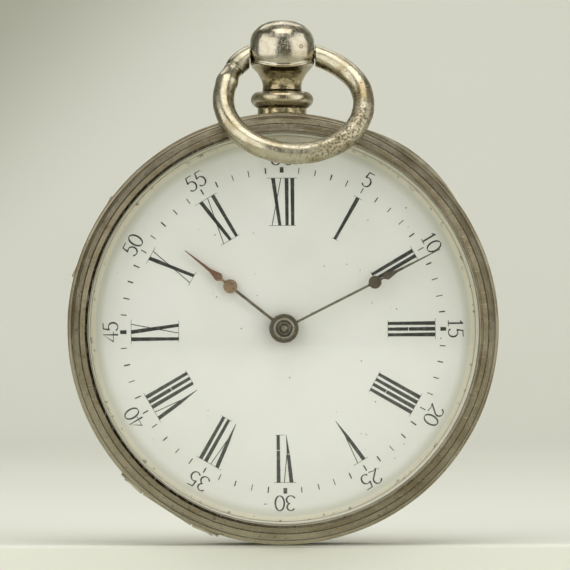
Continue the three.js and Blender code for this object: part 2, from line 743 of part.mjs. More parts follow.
const LOW_BRIDGE = [1.2, 1.5];
add(
  "escape_bridge",
  GILT,
  cut(
    join(
      plate(barOutline(ESCAPE_AT, FEET.escape, 0.75, 1.2), LOW_BRIDGE),
      footStands(FEET.escape, 1.1, LOW_BRIDGE[0]),
    ),
    rod(PIVOT_HOLE_R, [0, 4], ESCAPE_AT, 8),
    ...screwSeat(FEET.escape, LOW_BRIDGE[1]).slice(0, 1),
  ),
);

const COCK = [2.3, 2.8];
add(
  "balance_cock",
  GILT,
  cut(
    join(
      plate(barOutline(BALANCE_AT, FEET.balance, 2, 1.9), COCK),
      footStands(FEET.balance, 1.75, COCK[0]),
    ),
    rod(PIVOT_HOLE_R, [0, 4], BALANCE_AT, 8),
    rod(0.3, [2, 4], polar(1.35, 200 * DEGREE, BALANCE_AT), 8),
    ...screwSeat(FEET.balance, COCK[1]),
  ),
);

const SCREWED = [
  ["barrel_bridge_screw_left", FEET.barrel_left, BAR_BACK],
  ["barrel_bridge_screw_right", FEET.barrel_right, BAR_BACK],
  ["centre_bridge_screw", FEET.centre, BAR_BACK],
  ["third_bridge_screw", FEET.third, BAR_BACK],
  ["fourth_bridge_screw", FEET.fourth, BAR_BACK],
  ["escape_bridge_screw", FEET.escape, LOW_BRIDGE[1] + SCREW.headDepth + PLAY],
  ["balance_cock_screw", FEET.balance, COCK[1]],
];
for (const [name, at, top] of SCREWED) add(name, BLUED, screw(at, top));

CASE_SCREWS.forEach((at, i) => {
  const head = rod(1.1, [0.16, 0.5], at, 12);
  const slot = block([at[0] - 2, at[0] + 2], [0.36, 1], [at[1] - 0.1, at[1] + 0.1]);
  add(`case_screw_${i + 1}`, BLUED, cut(join(head, rod(SCREW.shank, [SCREW.depth, 0.2], at, 8)), slot));
});

// ---------------------------------------------------------------- barrel and winding work
const toCentre = heading(BARREL_AT, CENTRE);
const DRUM_R = 6.75;
const drumCup = turned(
  [
    [0.75, -0.25],
    [DRUM_R, -0.25],
    [DRUM_R, 0.95],
    [DRUM_R - 0.4, 0.95],
    [DRUM_R - 0.4, -0.05],
    [0.75, -0.05],
  ],
  32,
).translate(BARREL_AT[0], 0, BARREL_AT[1]);
const toothRing = plate(wheelOutline(BARREL, BARREL_AT, toCentre), BARREL.y, [
  circle(BARREL_AT, DRUM_R - 0.2, 32),
]);
add("barrel_drum", BRASS, join(drumCup, toothRing));
add(
  "barrel_cover",
  BRASS,
  plate(circle(BARREL_AT, DRUM_R - 0.47, 32), [0.72, 0.94], [bored(0.76, BARREL_AT)]),
);

const squareHalf = 0.46;
const squareOn = ([x, z], [front, back]) =>
  block([x - squareHalf, x + squareHalf], [front, back], [z - squareHalf, z + squareHalf]);
add(
  "barrel_arbor",
  STEEL,
  join(
    rod(0.56, [-1, 0.1], BARREL_AT, 12),
    rod(1.25, [-0.02, 0.68], BARREL_AT, 16),
    rod(0.7, [0.6, BAR_BACK], BARREL_AT, 16),
    squareOn(BARREL_AT, [BAR_BACK - 0.2, SQUARE_END]),
  ),
);

// A flat spring wound in a spiral, as one strip with square ends.
const spiralStrip = (centre, from, to, turns, width, perTurn, startAt = 0) => {
  const count = Math.round(turns * perTurn);
  const side = (offset) =>
    Array.from({ length: count + 1 }, (_, i) => {
      const share = i / count;
      return polar(from + (to - from) * share + offset, startAt + share * turns * TURN, centre);
    });
  return [...side(width / 2), ...side(-width / 2).reverse()];
};
add("mainspring", STEEL, plate(spiralStrip(BARREL_AT, 1.6, 6.1, 5, 0.3, 12), [0.02, 0.64]));

const ratchetOutline = Array.from({ length: RATCHET_TEETH }, (_, i) => {
  const at = (i * TURN) / RATCHET_TEETH;
  return [polar(RATCHET_R, at, BARREL_AT), polar(RATCHET_R - 0.32, at + 0.02, BARREL_AT)];
}).flat();
const squareHole = ([x, z], half) => [
  [x - half, z - half],
  [x + half, z - half],
  [x + half, z + half],
  [x - half, z + half],
];
const RATCHET_Y = [BAR_BACK + 0.04, BAR_BACK + 0.34];
add("ratchet_wheel", STEEL, plate(ratchetOutline, RATCHET_Y, [squareHole(BARREL_AT, squareHalf + 0.02)]));

const clickTip = polar(RATCHET_R + 0.05, 118 * DEGREE, BARREL_AT);
const clickWay = heading(CLICK_AT, clickTip);
add(
  "click",
  STEEL,
  plate(
    [
      ...arc(CLICK_AT, 0.62, clickWay + 0.5 * Math.PI, clickWay + 1.5 * Math.PI, 8),
      clickTip,
      polar(0.5, clickWay + 0.9 * Math.PI, polar(0.62, clickWay + 0.5 * Math.PI, clickTip)),
    ],
    RATCHET_Y,
    [circle(CLICK_AT, 0.26, 12)],
  ),
);
add(
  "click_screw",
  BLUED,
  join(
    rod(0.22, [2.1, RATCHET_Y[1] + 0.1], CLICK_AT, 10),
    rod(0.48, [RATCHET_Y[1] + 0.03, 3.2], CLICK_AT, 16),
  ),
);
const springPath = arc(BARREL_AT, 4.95, 150 * DEGREE, 108 * DEGREE, 6);
const springBack = arc(BARREL_AT, 4.75, 108 * DEGREE, 150 * DEGREE, 6);
add("click_spring", STEEL, plate([...springPath, ...springBack], [BAR_BACK + 0.04, BAR_BACK + 0.3]));

// ---------------------------------------------------------------- train
const toThird = heading(CENTRE, THIRD_AT);
const toFourth = heading(THIRD_AT, FOURTH_AT);
const toEscape = heading(FOURTH_AT, ESCAPE_AT);
const WHEEL_BORE = 0.42;

add(
  "centre_pinion",
  STEEL,
  cut(
    join(
      plate(pinionOutline(CENTRE_PINION, CENTRE, toCentre + Math.PI), CENTRE_PINION.y),
      rod(0.55, [-0.55, BAR_BACK - 0.05], CENTRE, 16),
      rod(0.8, [CENTRE_PINION.y[1] - 0.05, CENTRE_WHEEL.y[0] - 0.01], CENTRE, 16),
    ),
    rod(SETTING_R + 0.03, [-2, 4], CENTRE, 16),
  ),
);
add("centre_wheel", BRASS, armedWheel(CENTRE_WHEEL, CENTRE, toThird, 0.57));
add(
  "setting_arbor",
  STEEL,
  join(
    rod(SETTING_R, [-3.95, BAR_BACK + 0.2], CENTRE, 16),
    rod(0.62, [BAR_BACK + 0.03, BAR_BACK + 0.25], CENTRE, 16),
    squareOn(CENTRE, [BAR_BACK + 0.2, SQUARE_END]),
  ),
);

const arbor = (at, back) => rod(0.13, [MOTION_FLOOR + PLAY, back], at, 8);
add(
  "third_pinion",
  STEEL,
  join(
    arbor(THIRD_AT, BAR_BACK - 0.1),
    plate(pinionOutline(THIRD_PINION, THIRD_AT, toThird + Math.PI), THIRD_PINION.y),
    rod(WHEEL_BORE - 0.02, [0.3, 1.2], THIRD_AT, 12),
  ),
);
add("third_wheel", BRASS, armedWheel(THIRD_WHEEL, THIRD_AT, toFourth, WHEEL_BORE));
add(
  "fourth_pinion",
  STEEL,
  join(
    arbor(FOURTH_AT, BAR_BACK - 0.1),
    plate(pinionOutline(FOURTH_PINION, FOURTH_AT, toFourth + Math.PI), FOURTH_PINION.y),
    rod(0.3, [0.7, 1.1], FOURTH_AT, 12),
  ),
);
add("fourth_wheel", BRASS, armedWheel(FOURTH_WHEEL, FOURTH_AT, toEscape, 0.32));
add(
  "escape_pinion",
  STEEL,
  join(
    arbor(ESCAPE_AT, LOW_BRIDGE[1] - 0.03),
    plate(pinionOutline(ESCAPE_PINION, ESCAPE_AT, toEscape + Math.PI), ESCAPE_PINION.y),
    rod(0.2, [0.3, 0.8], ESCAPE_AT, 12),
  ),
);
const escapeOutline = Array.from({ length: ESCAPE_TEETH }, (_, i) => {
  const at = (i * TURN) / ESCAPE_TEETH;
  return [
    polar(ESCAPE_R, at, ESCAPE_AT),
    polar(ESCAPE_R - 0.1, at + 0.16, ESCAPE_AT),
    polar(1.75, at + 0.2, ESCAPE_AT),
  ];
}).flat();
add(
  "escape_wheel",
  STEEL,
  plate(escapeOutline, [0.4, 0.62], [...crossings(ESCAPE_AT, 0.5, 1.5, 3, 0.3), bored(0.22, ESCAPE_AT)]),
);

// ---------------------------------------------------------------- balance
add(
  "balance_wheel",
  BRASS,
  plate(circle(BALANCE_AT, BALANCE_R, 40), [1.6, 1.85], [
    ...crossings(BALANCE_AT, 0.75, BALANCE_R - 0.6, 3, 0.45, 0.4),
    bored(0.44, BALANCE_AT),
  ]),
);
add(
  "balance_staff",
  STEEL,
  join(
    rod(0.13, [-1.2, COCK[1] - 0.1], BALANCE_AT, 8),
    rod(0.42, [0.2, 2.16], BALANCE_AT, 16),
  ),
);
const SPRING_LAYER = [1.98, 2.12];
add("hairspring", BLUED, plate(spiralStrip(BALANCE_AT, 0.58, 2.3, 5, 0.06, 12, 200 * DEGREE), SPRING_LAYER));
const STUD_AT = polar(2.62, 200 * DEGREE, BALANCE_AT);
add("hairspring_stud", STEEL, rod(0.26, [1.94, COCK[0] - PLAY], STUD_AT, 10));

// The regulator turns on the cap jewel's setting, above the cock.
const SETTING = [COCK[1] + PLAY, COCK[1] + 0.36];
add("cap_jewel", RUBY, rod(0.78, SETTING, BALANCE_AT, 20));
const indexWay = heading(BALANCE_AT, FEET.balance) + 2.1;
add(
  "regulator_index",
  STEEL,
  plate(
    [
      ...arc(BALANCE_AT, 1.25, indexWay + 0.25, indexWay - 0.25 + TURN, 20),
      polar(4.6, indexWay - 0.02, BALANCE_AT),
      polar(4.6, indexWay + 0.02, BALANCE_AT),
    ],
    [COCK[1] + 0.04, COCK[1] + 0.2],
    [circle(BALANCE_AT, 0.86, 20)],
  ),
);

// The whole watch moves forward so that its back face lies in the plane y = 0.
watch.position.y = -BACK_FACE;
const group = new THREE.Group();
group.add(watch);
export default group;
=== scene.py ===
"""An open-faced silver fob watch: worn case, enamel dial, hands, pendant and bow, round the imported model.

Shapes are made in millimetres in the watch's own frame, where y = 0 is the middle of the case band,
negative y is towards the glass and z is up. show() brings each finished piece into the frame's metres.
"""

import math
import random

import bmesh
import bpy
from mathutils import Matrix, Vector, noise


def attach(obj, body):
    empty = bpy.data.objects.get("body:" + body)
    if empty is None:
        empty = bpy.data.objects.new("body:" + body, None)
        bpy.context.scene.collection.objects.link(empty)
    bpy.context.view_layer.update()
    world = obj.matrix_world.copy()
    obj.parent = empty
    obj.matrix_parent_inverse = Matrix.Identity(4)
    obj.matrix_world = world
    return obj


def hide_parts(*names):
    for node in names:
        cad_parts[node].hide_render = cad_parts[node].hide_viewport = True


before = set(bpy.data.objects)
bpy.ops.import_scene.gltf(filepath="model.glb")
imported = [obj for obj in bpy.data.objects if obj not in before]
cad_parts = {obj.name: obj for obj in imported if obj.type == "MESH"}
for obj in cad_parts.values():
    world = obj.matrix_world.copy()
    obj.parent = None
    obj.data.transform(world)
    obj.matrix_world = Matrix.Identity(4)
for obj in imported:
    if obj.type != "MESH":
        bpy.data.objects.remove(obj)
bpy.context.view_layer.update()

MM = 0.001
TURN = 2 * math.pi

# ------------------------ driving dimensions, in millimetres
BACK_FACE = 5.6
CASE_R = 20
SEAM_FRONT = -2.2
SEAM_BACK = 2.4
PLAY = 0.02
TURNING_ROOM = 0.07
SMOOTH_SIDES = 192
FINE_SIDES = 256
SHARP_ANGLE = math.radians(32)

PIVOT_Z = 25.75
KNOB_FLAT = 2.98
BOW_HALF_WIDTH = 6.49
BOW_HALF_HEIGHT = 6.37
BOW_DROP = 6
BOW_WIRE_R = 1.01
BOW_LEAN = math.radians(37.7)
BOW_SHIFT = 0.87
PIVOT_R = 0.55
WIRE_END = 3.1

BEZEL_HINGE = {
    "clock": 212.8, "radius": 19.55, "y": SEAM_FRONT, "side": 1, "middle": 2.7, "end": 5.3, "rim": 0.66,
}
BACK_HINGE = {
    "clock": 296, "radius": 19.35, "y": SEAM_BACK, "side": -1, "middle": 2.1, "end": 4.2, "rim": 0.78,
}
CUVETTE_HINGE = {"clock": 296, "radius": 18.55, "y": 2.78, "middle": 1.6, "end": 3}
KNUCKLE_R = 0.42
KNUCKLE_PROUD = 0.18
CUVETTE_KNUCKLE_R = 0.36
PIN_BORE_R = 0.24
PIN_SPAN = (-7, 7)
BEZEL_LIP_CLOCK = 38
BACK_LIP_CLOCK = 116

DIAL_R = 17.87
DIAL_FRONT = -2.4
DIAL_BACK = -1.55
INK_FRONT = DIAL_FRONT - 0.012
INK_BACK = DIAL_FRONT + 0.01
HOUR_HAND_CLOCK = 308.2
MINUTE_HAND_CLOCK = 63.1
BARREL_AT = (3.465, 7.432)

TO_SCENE = Matrix.Scale(MM, 4) @ Matrix.Translation((0, -BACK_FACE, 0))


# ------------------------ shapes
def polar(radius, clock):
    """The (x, z) place at a radius and a clock angle in degrees, clockwise from twelve."""
    a = math.radians(clock)
    return radius * math.sin(a), radius * math.cos(a)


def add_object(name, data):
    """A new object in the scene that holds the data."""
    made = bpy.data.objects.new(name, data)
    bpy.context.scene.collection.objects.link(made)
    return made


def make_object(name, bm):
    """A new object that holds the bmesh, with its faces turned outwards."""
    bmesh.ops.recalc_face_normals(bm, faces=bm.faces)
    mesh = bpy.data.meshes.new(name)
    bm.to_mesh(mesh)
    bm.free()
    return add_object(name, mesh)


def skin(bm, rings):
    """Faces over a run of equal rings of vertices, closed at both ends."""
    count = len(rings[0])
    for here, there in zip(rings, rings[1:]):
        for k in range(count):
            j = (k + 1) % count
            bm.faces.new((here[k], here[j], there[j], there[k]))
    bm.faces.new(rings[0][::-1])
    bm.faces.new(rings[-1])


def curve(centre, radii, start, end, steps=12):
    """Points on part of an ellipse, angles in degrees anticlockwise from three o'clock."""
    angles = [math.radians(start + (end - start) * i / steps) for i in range(steps + 1)]
    return [(centre[0] + radii[0] * math.cos(a), centre[1] + radii[1] * math.sin(a)) for a in angles]


def rounded(profile, radius, steps=4):
    """The profile with each of its corners replaced by a small curve."""
    closed = profile[0][0] > 0
    points = [Vector(p) for p in profile]
    out = []
    for i, p in enumerate(points):
        if not closed and i in (0, len(points) - 1):
            out.append(p)
            continue
        before, after = points[i - 1], points[(i + 1) % len(points)]
        start = p + (before - p).normalized() * min(radius, 0.45 * (before - p).length)
        end = p + (after - p).normalized() * min(radius, 0.45 * (after - p).length)
        for step in range(steps + 1):
            t = step / steps
            out.append(start * (1 - t) ** 2 + p * 2 * t * (1 - t) + end * t * t)
    return out


def turned(name, profile, sides=SMOOTH_SIDES, upright=False, warp=None):
    """A profile of (radius, height) turned about the watch's axis, or about the pendant's upright axis."""
    bm = bmesh.new()
    on_axis = profile[0][0] == 0

    def vertex(radius, height, a):
        x, other = radius * math.sin(a), radius * math.cos(a)
        co = Vector((x, other, height)) if upright else Vector((x, height, other))
        return bm.verts.new(warp(co) if warp else co)

    poles = {i: vertex(0, p[1], 0) for i, p in enumerate(profile) if p[0] == 0}
    rings = []
    for side in range(sides):
        a = TURN * side / sides
        rings.append([poles[i] if i in poles else vertex(p[0], p[1], a) for i, p in enumerate(profile)])
    spans = len(profile) - 1 if on_axis else len(profile)
    for side in range(sides):
        here, there = rings[side], rings[(side + 1) % sides]
        for i in range(spans):
            j = (i + 1) % len(profile)
            corners = list(dict.fromkeys([here[i], here[j], there[j], there[i]]))
            bm.faces.new(corners)
    return make_object(name, bm)


def moved(piece, matrix):
    """The piece with its mesh put through the matrix."""
    piece.data.transform(matrix)
    return piece


def block(name, x, y, z, matrix=Matrix.Identity(4)):
    """A box between pairs of coordinates, used to cut and to carry hinge knuckles."""
    bm = bmesh.new()
    bmesh.ops.create_cube(bm, size=1)
    size = Matrix.Diagonal((x[1] - x[0], y[1] - y[0], z[1] - z[0], 1))
    middle = Matrix.Translation(((x[0] + x[1]) / 2, (y[0] + y[1]) / 2, (z[0] + z[1]) / 2))
    bmesh.ops.transform(bm, matrix=matrix @ middle @ size, verts=bm.verts)
    return make_object(name, bm)


def rod(name, radius, y, at=(0, 0), sides=64, edge=0.03):
    """A round rod along y, with softened ends."""
    profile = rounded([(0, y[0]), (radius, y[0]), (radius, y[1]), (0, y[1])], edge, 3)
    return moved(turned(name, profile, sides), Matrix.Translation((at[0], 0, at[1])))


def hinge_frame(hinge):
    """In a hinge's own frame x runs clockwise along the tangent, y stays y, and z points outwards."""
    a = math.radians(hinge["clock"])
    tangent = Vector((math.cos(a), 0, -math.sin(a)))
    outward = Vector((math.sin(a), 0, math.cos(a)))
    turn = Matrix((tangent, Vector((0, 1, 0)), outward)).transposed().to_4x4()
    return Matrix.Translation(outward * hinge["radius"] + Vector((0, hinge["y"], 0))) @ turn


def along_x(name, radius, span, sides=32):
    """A rod along x."""
    return moved(rod(name, radius, span, sides=sides), Matrix.Rotation(-math.pi / 2, 4, "Z"))


def tube(hinge, radius, span):
    """A rod along a hinge's line."""
    return moved(along_x("tube", radius, span), hinge_frame(hinge))


def both_ends(near, far):
    """The same span on both sides of the middle."""
    return [(near, far), (-far, -near)]


def combine(piece, operation, tools):
    """Joins the tools to the piece or cuts them from it, and removes the tools."""
    for tool in tools:
        modifier = piece.modifiers.new("shape", "BOOLEAN")
        modifier.operation = operation
        modifier.solver = "EXACT"
        modifier.object = tool
    bpy.context.view_layer.update()
    graph = bpy.context.evaluated_depsgraph_get()
    result = bpy.data.meshes.new_from_object(piece.evaluated_get(graph))
    result.validate()
    piece.modifiers.clear()
    piece.data = result
    for tool in tools:
        bpy.data.objects.remove(tool)
    return piece


def join(piece, *tools):
    """The piece and the tools as one solid."""
    return combine(piece, "UNION", tools)


def cut(piece, *tools):
    """The piece less the tools."""
    return combine(piece, "DIFFERENCE", tools)


def common(piece, *tools):
    """What the piece and the tools share."""
    return combine(piece, "INTERSECT", tools)


def shade(mesh, angle):
    """Smooth shading, with edges steeper than the angle left sharp."""
    mesh.polygons.foreach_set("use_smooth", [True] * len(mesh.polygons))
    mesh.set_sharp_from_angle(angle=angle)


def show(piece, surface, body, slot, *replaced):
    """Brings a finished piece into the frame: its finish, its body, and the CAD nodes that it stands for."""
    piece.data.transform(TO_SCENE)
    shade(piece.data, SHARP_ANGLE)
    piece.data.materials.clear()
    piece.data.materials.append(surface)
    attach(piece, body)
    if replaced:
        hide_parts(*replaced)
    return piece


# ------------------------ finishes
def tone(red, green, blue):
    """A colour given as it looks on a screen, 11 to 255, in linear light."""
    return (*(((c / 255 + 0.055) / 1.055) ** 2.4 for c in (red, green, blue)), 1)


class Finish:
    """A material being made. Sizes are in millimetres, and values are numbers or node sockets.

    Places are measured in the frame, where y is less than the watch's own by BACK_FACE.
    """

    def __init__(self, name):
        self.material = bpy.data.materials.new(name)
        self.material.use_nodes = True
        self.nodes = self.material.node_tree.nodes
        self.links = self.material.node_tree.links
        self.nodes.clear()
        self.place = self.add("ShaderNodeTexCoord").outputs["Object"]

    def add(self, kind, inputs=None, **settings):
        """A new node with its settings, and its inputs fed by name or number."""
        node = self.nodes.new(kind)
        for key, value in settings.items():
            setattr(node, key, value)
        for key, value in (inputs or {}).items():
            if isinstance(value, bpy.types.NodeSocket):
                self.links.new(value, node.inputs[key])
            else:
                node.inputs[key].default_value = value
        return node

    def maths(self, operation, *values):
        return self.add("ShaderNodeMath", dict(enumerate(values)), operation=operation).outputs[0]

    def times(self, first, second):
        return self.maths("MULTIPLY", first, second)

    def cloud(self, place, detail):
        """Noise that varies over a length of one in the place given."""
        node = self.add("ShaderNodeTexNoise", {"Vector": place, "Scale": 1.0, "Detail": detail})
        return node.outputs["Fac"]

    def noise(self, size, detail, stretch=(1, 1, 1)):
        """Noise whose patches are about size across."""
        scale = tuple(s / (size * MM) for s in stretch)
        scaled = self.add("ShaderNodeVectorMath", {0: self.place, 1: scale}, operation="MULTIPLY")
        return self.cloud(scaled.outputs[0], detail)

    def patches(self, size, detail, low, high, *outs):
        """Noise whose step from low to high makes patches with soft edges."""
        return self.ramp(self.noise(size, detail), low, high, *outs)

    def spots(self, size, share):
        """1 in scattered round spots about size apart, 0 elsewhere."""
        inputs = {0: self.place, "Scale": 1 / (size * MM)}
        scaled = self.add("ShaderNodeVectorMath", inputs, operation="SCALE")
        node = self.add("ShaderNodeTexVoronoi", {"Vector": scaled.outputs[0], "Scale": 1.0})
        return self.ramp(node.outputs["Distance"], share, 0.0)

    def ramp(self, value, low, high, out_low=0.0, out_high=1.0):
        """A smooth step from out_low at low to out_high at high."""
        falling = low > high
        ends = (high, low, out_high, out_low) if falling else (low, high, out_low, out_high)
        inputs = dict(enumerate((value, *ends)))
        return self.add("ShaderNodeMapRange", inputs, interpolation_type="SMOOTHSTEP").outputs[0]

    def mix(self, share, first, second):
        return self.add("ShaderNodeMix", {0: share, 6: first, 7: second}, data_type="RGBA").outputs[2]

    def over(self, colour, share, strength, other):
        """The colour with the other laid over it, at the given strength where share is 1."""
        return self.mix(self.times(share, strength), colour, other)

    def coordinate(self, axis):
        """The place along one axis, in millimetres."""
        return self.maths("DIVIDE", self.add("ShaderNodeSeparateXYZ", {0: self.place}).outputs[axis], MM)

    def radius(self, at=(0, 0)):
        """Distance from the line along y through an (x, z) place, in millimetres."""
        sides = [self.maths("SUBTRACT", self.coordinate(axis), middle) for axis, middle in zip("XZ", at)]
        return self.maths("SQRT", self.maths("ADD", *[self.times(side, side) for side in sides]))

    def within(self, value, low, high, soft):
        """1 between low and high, fading to 0 over soft beyond each."""
        rises = self.ramp(value, low - soft, low)
        return self.times(rises, self.ramp(value, high + soft, high))

    def mark(self, start, end, half):
        """1 on a straight scratch from one (x, z) place to another."""
        way = Vector(end) - Vector(start)
        length, way = way.length, way.normalized()
        x, z = (self.maths("SUBTRACT", self.coordinate(axis), s) for axis, s in zip("XZ", start))
        along = self.maths("ADD", self.times(x, way.x), self.times(z, way.y))
        aside = self.maths("SUBTRACT", self.times(z, way.x), self.times(x, way.y))
        return self.times(self.line(aside, 0, half), self.within(along, 0, length, 0.15))

    def toward(self, clock):
        """1 where a place on the dial or rim lies at that clock angle, -1 opposite it."""
        x, z = polar(1, clock)
        way = self.add("ShaderNodeVectorMath", {0: self.place}, operation="NORMALIZE")
        dot = self.add("ShaderNodeVectorMath", {0: way.outputs[0], 1: (x, 0, z)}, operation="DOT_PRODUCT")
        return dot.outputs["Value"]

    def rings(self, spacing):
        """The fine marks that turning leaves round the watch's axis."""
        circles = self.add("ShaderNodeCombineXYZ", {0: self.times(self.radius(), 1 / spacing)})
        return self.cloud(circles.outputs[0], 3.0)

    def line(self, value, at, half):
        """1 on a thin line where the value is near at."""
        return self.ramp(self.maths("ABSOLUTE", self.maths("SUBTRACT", value, at)), half, half * 0.35)

    def bump(self, height, depth, under=None):
        inputs = {"Strength": 1.0, "Distance": depth * MM, "Height": height}
        if under:
            inputs["Normal"] = under
        return self.add("ShaderNodeBump", inputs).outputs["Normal"]

    def done(self, colour, roughness, metallic=1.0, normal=None):
        inputs = {"Base Color": colour, "Roughness": roughness, "Metallic": metallic}
        if normal:
            inputs["Normal"] = normal
        return self.close(self.add("ShaderNodeBsdfPrincipled", inputs).outputs[0])

    def close(self, shader):
        self.add("ShaderNodeOutputMaterial", {"Surface": shader})
        return self.material


def scratches(finish):
    """Fine hair scratches that run two ways."""
    one = finish.ramp(finish.noise(0.5, 2, (9, 1, 0.6)), 0.62, 0.7)
    other = finish.ramp(finish.noise(0.6, 2, (0.7, 1, 8)), 0.63, 0.7)
    return finish.maths("MAXIMUM", one, other)


# Radius, half width and strength of each dark line round the bezel.
BEZEL_LINES = [(18.92, 0.08, 0.85), (19.16, 0.03, 0.16), (19.34, 0.03, 0.16), (19.58, 0.06, 0.7)]
# Radius and half width of each worn edge, with a painted highlight along it.
BEZEL_WORN_EDGE_HIGHLIGHTS = [(18.1, 0.05), (19.72, 0.06), (20.1, 0.16)]
# Radii of the flat outside the bead, of the painted shadow and dirt in the gap by the glass, and of the
# cement.
BEAD_SIDE = (18.44, 18.84)
SHADED_GAP = (18.14, 18.38)
CEMENT_R = 18.0
# The front of the hinge's tube, in the frame's y, where a highlight is painted.
TUBE_FRONT_Y = -8.22
# Clock angle towards which the bezel is painted lighter, as painted light.
LIT_SIDE_CLOCK = 205
# Clock angle where the painted shadow and dirt in the gap by the glass are darkest.
DARKEST_GAP_CLOCK = 262


def case_silver():
    """Dull, brown silver with turning marks, dirt in its grooves and pale cement round the dial's seat, with
    a painted lighter side, painted shadow and dirt in the gap by the glass, and painted highlights on worn
    edges and the hinge's tube.
    """
    f = Finish("case_silver_tarnished")
    radius = f.radius()
    patches = f.patches(3.2, 5, 0.35, 0.68)
    colour = f.mix(patches, tone(154, 146, 124), tone(124, 113, 88))
    # Painted light: the bezel is painted lighter on the side towards this clock angle.
    painted_lit_side = f.times(f.ramp(f.toward(LIT_SIDE_CLOCK), 0.3, 0.95), 0.4)
    colour = f.mix(painted_lit_side, colour, tone(176, 170, 150))
    speckle = f.patches(0.35, 4, 0.56, 0.74)
    colour = f.over(colour, speckle, 0.6, tone(66, 58, 42))
    uneven = f.maths("ADD", radius, f.times(f.maths("SUBTRACT", f.noise(1.3, 3), 0.5), 0.12))
    for at, half, strength in BEZEL_LINES:
        colour = f.over(colour, f.line(radius, at, half), strength, tone(48, 42, 30))
    colour = f.over(colour, f.within(radius, *BEAD_SIDE, 0.05), 0.45, tone(104, 94, 70))
    # Painted shadow, with some dirt, in the gap by the glass: near black, uneven, and darkest towards one
    # side.
    gap = f.within(uneven, *SHADED_GAP, 0.04)
    gap_shadow_and_dirt = f.times(gap, f.ramp(f.toward(DARKEST_GAP_CLOCK), -0.3, 0.6, 0.4, 1.0))
    colour = f.mix(gap_shadow_and_dirt, colour, tone(30, 26, 18))
    # Painted highlights along the worn edges.
    for at, half in BEZEL_WORN_EDGE_HIGHLIGHTS:
        colour = f.over(colour, f.line(radius, at, half), 0.6, tone(206, 200, 178))
    marks = scratches(f)
    colour = f.over(colour, marks, 0.3, tone(205, 200, 184))
    rough = f.patches(1.1, 5, 0.3, 0.7, 0.34, 0.52)
    normal = f.bump(f.rings(0.16), 0.006)
    normal = f.bump(f.noise(0.9, 5), 0.02, normal)
    normal = f.bump(f.times(f.spots(0.8, 0.2), -1.0), 0.02, normal)
    # Painted highlight along the front of the bezel hinge's tube.
    tube_highlight_arc = f.ramp(f.toward(BEZEL_HINGE["clock"]), 0.95, 0.96)
    tube = f.times(tube_highlight_arc, f.ramp(f.coordinate("Y"), TUBE_FRONT_Y - 0.08, TUBE_FRONT_Y))
    colour = f.over(colour, tube, 0.8, tone(226, 220, 198))
    cement = f.ramp(radius, CEMENT_R + 0.05, CEMENT_R)
    colour = f.mix(cement, colour, tone(230, 226, 211))
    return f.done(colour, rough, f.maths("SUBTRACT", 1.0, cement), f.bump(marks, 0.003, normal))


def back_silver():
    """Silver with an engine-turned pattern of fine waves between a plain middle and a plain rim."""
    f = Finish("case_silver_engine_turned")
    radius = f.radius()
    angle = f.maths("ARCTAN2", f.coordinate("X"), f.coordinate("Z"))
    wave = f.times(f.maths("SINE", f.times(angle, 48.0)), 0.9)
    lines = f.maths("SINE", f.maths("ADD", f.times(radius, TURN / 0.55), wave))
    inside = f.times(f.ramp(radius, 16.6, 16.3), f.ramp(radius, 4.0, 4.2))
    cut_lines = f.times(lines, inside)
    patches = f.patches(4.0, 5, 0.35, 0.7)
    colour = f.mix(patches, tone(180, 175, 161), tone(157, 149, 128))
    colour = f.mix(f.ramp(cut_lines, -0.5, -1.0, 0.0, 0.5), colour, tone(84, 76, 58))
    marks = scratches(f)
    rough = f.patches(1.3, 5, 0.3, 0.7, 0.26, 0.42)
    normal = f.bump(cut_lines, 0.03)
    normal = f.bump(f.noise(1.4, 4), 0.008, normal)
    return f.done(colour, rough, normal=f.bump(marks, 0.003, normal))


def worn_silver(f, clean, worn, depth):
    """Handled silver whose tone drifts, with brassy places, pits and scratches.

    Returns its colour, a noise for the roughness to follow, and its normal.
    """
    colour = f.mix(f.patches(1.9, 5, 0.42, 0.66), clean, worn)
    brassy = f.patches(2.6, 5, 0.56, 0.7)
    colour = f.over(colour, brassy, 0.45, tone(136, 114, 72))
    pits = f.times(f.patches(0.3, 5, 0.62, 0.7), f.patches(3.0, 3, 0.48, 0.6))
    colour = f.over(colour, pits, 0.6, tone(62, 52, 36))
    marks = scratches(f)
    colour = f.over(colour, marks, 0.3, tone(216, 211, 196))
    normal = f.bump(f.noise(1.2, 5), depth)
    normal = f.bump(f.times(pits, -1.0), 0.015, normal)
    return colour, f.noise(0.8, 5), f.bump(marks, 0.004, normal)


# Heights on the pendant, and (x, z) places on the knob and bow.
COLLAR = (19.4, 20.55)
NECK_LINES = [20.63, 22.08]
KNOB_FOOT_TOP = 24.55
BRASSY_SPOT = (22.7, 23.2)
SCRATCH = ((-0.55, 26.05), (0.57, 26.95))
RING_DENT = (1.62, 26.15)
SOLDER_AT = (-4.5, 24.4)


def neck_silver():
    """The neck is brown and dirty, with a bright bead and a brassy, pitted collar under it."""
    f = Finish("pendant_silver_neck")
    colour, drift, normal = worn_silver(f, tone(192, 184, 162), tone(164, 153, 124), 0.02)
    height = f.coordinate("Z")
    collar = f.within(height, *COLLAR, 0.08)
    brass = f.mix(f.patches(0.35, 4, 0.44, 0.6), tone(186, 172, 128), tone(116, 102, 72))
    colour = f.over(colour, collar, 0.75, brass)
    for at in NECK_LINES:
        colour = f.over(colour, f.line(height, at, 0.08), 0.8, tone(50, 42, 28))
    return f.done(colour, f.ramp(drift, 0.3, 0.7, 0.2, 0.36), normal=normal)


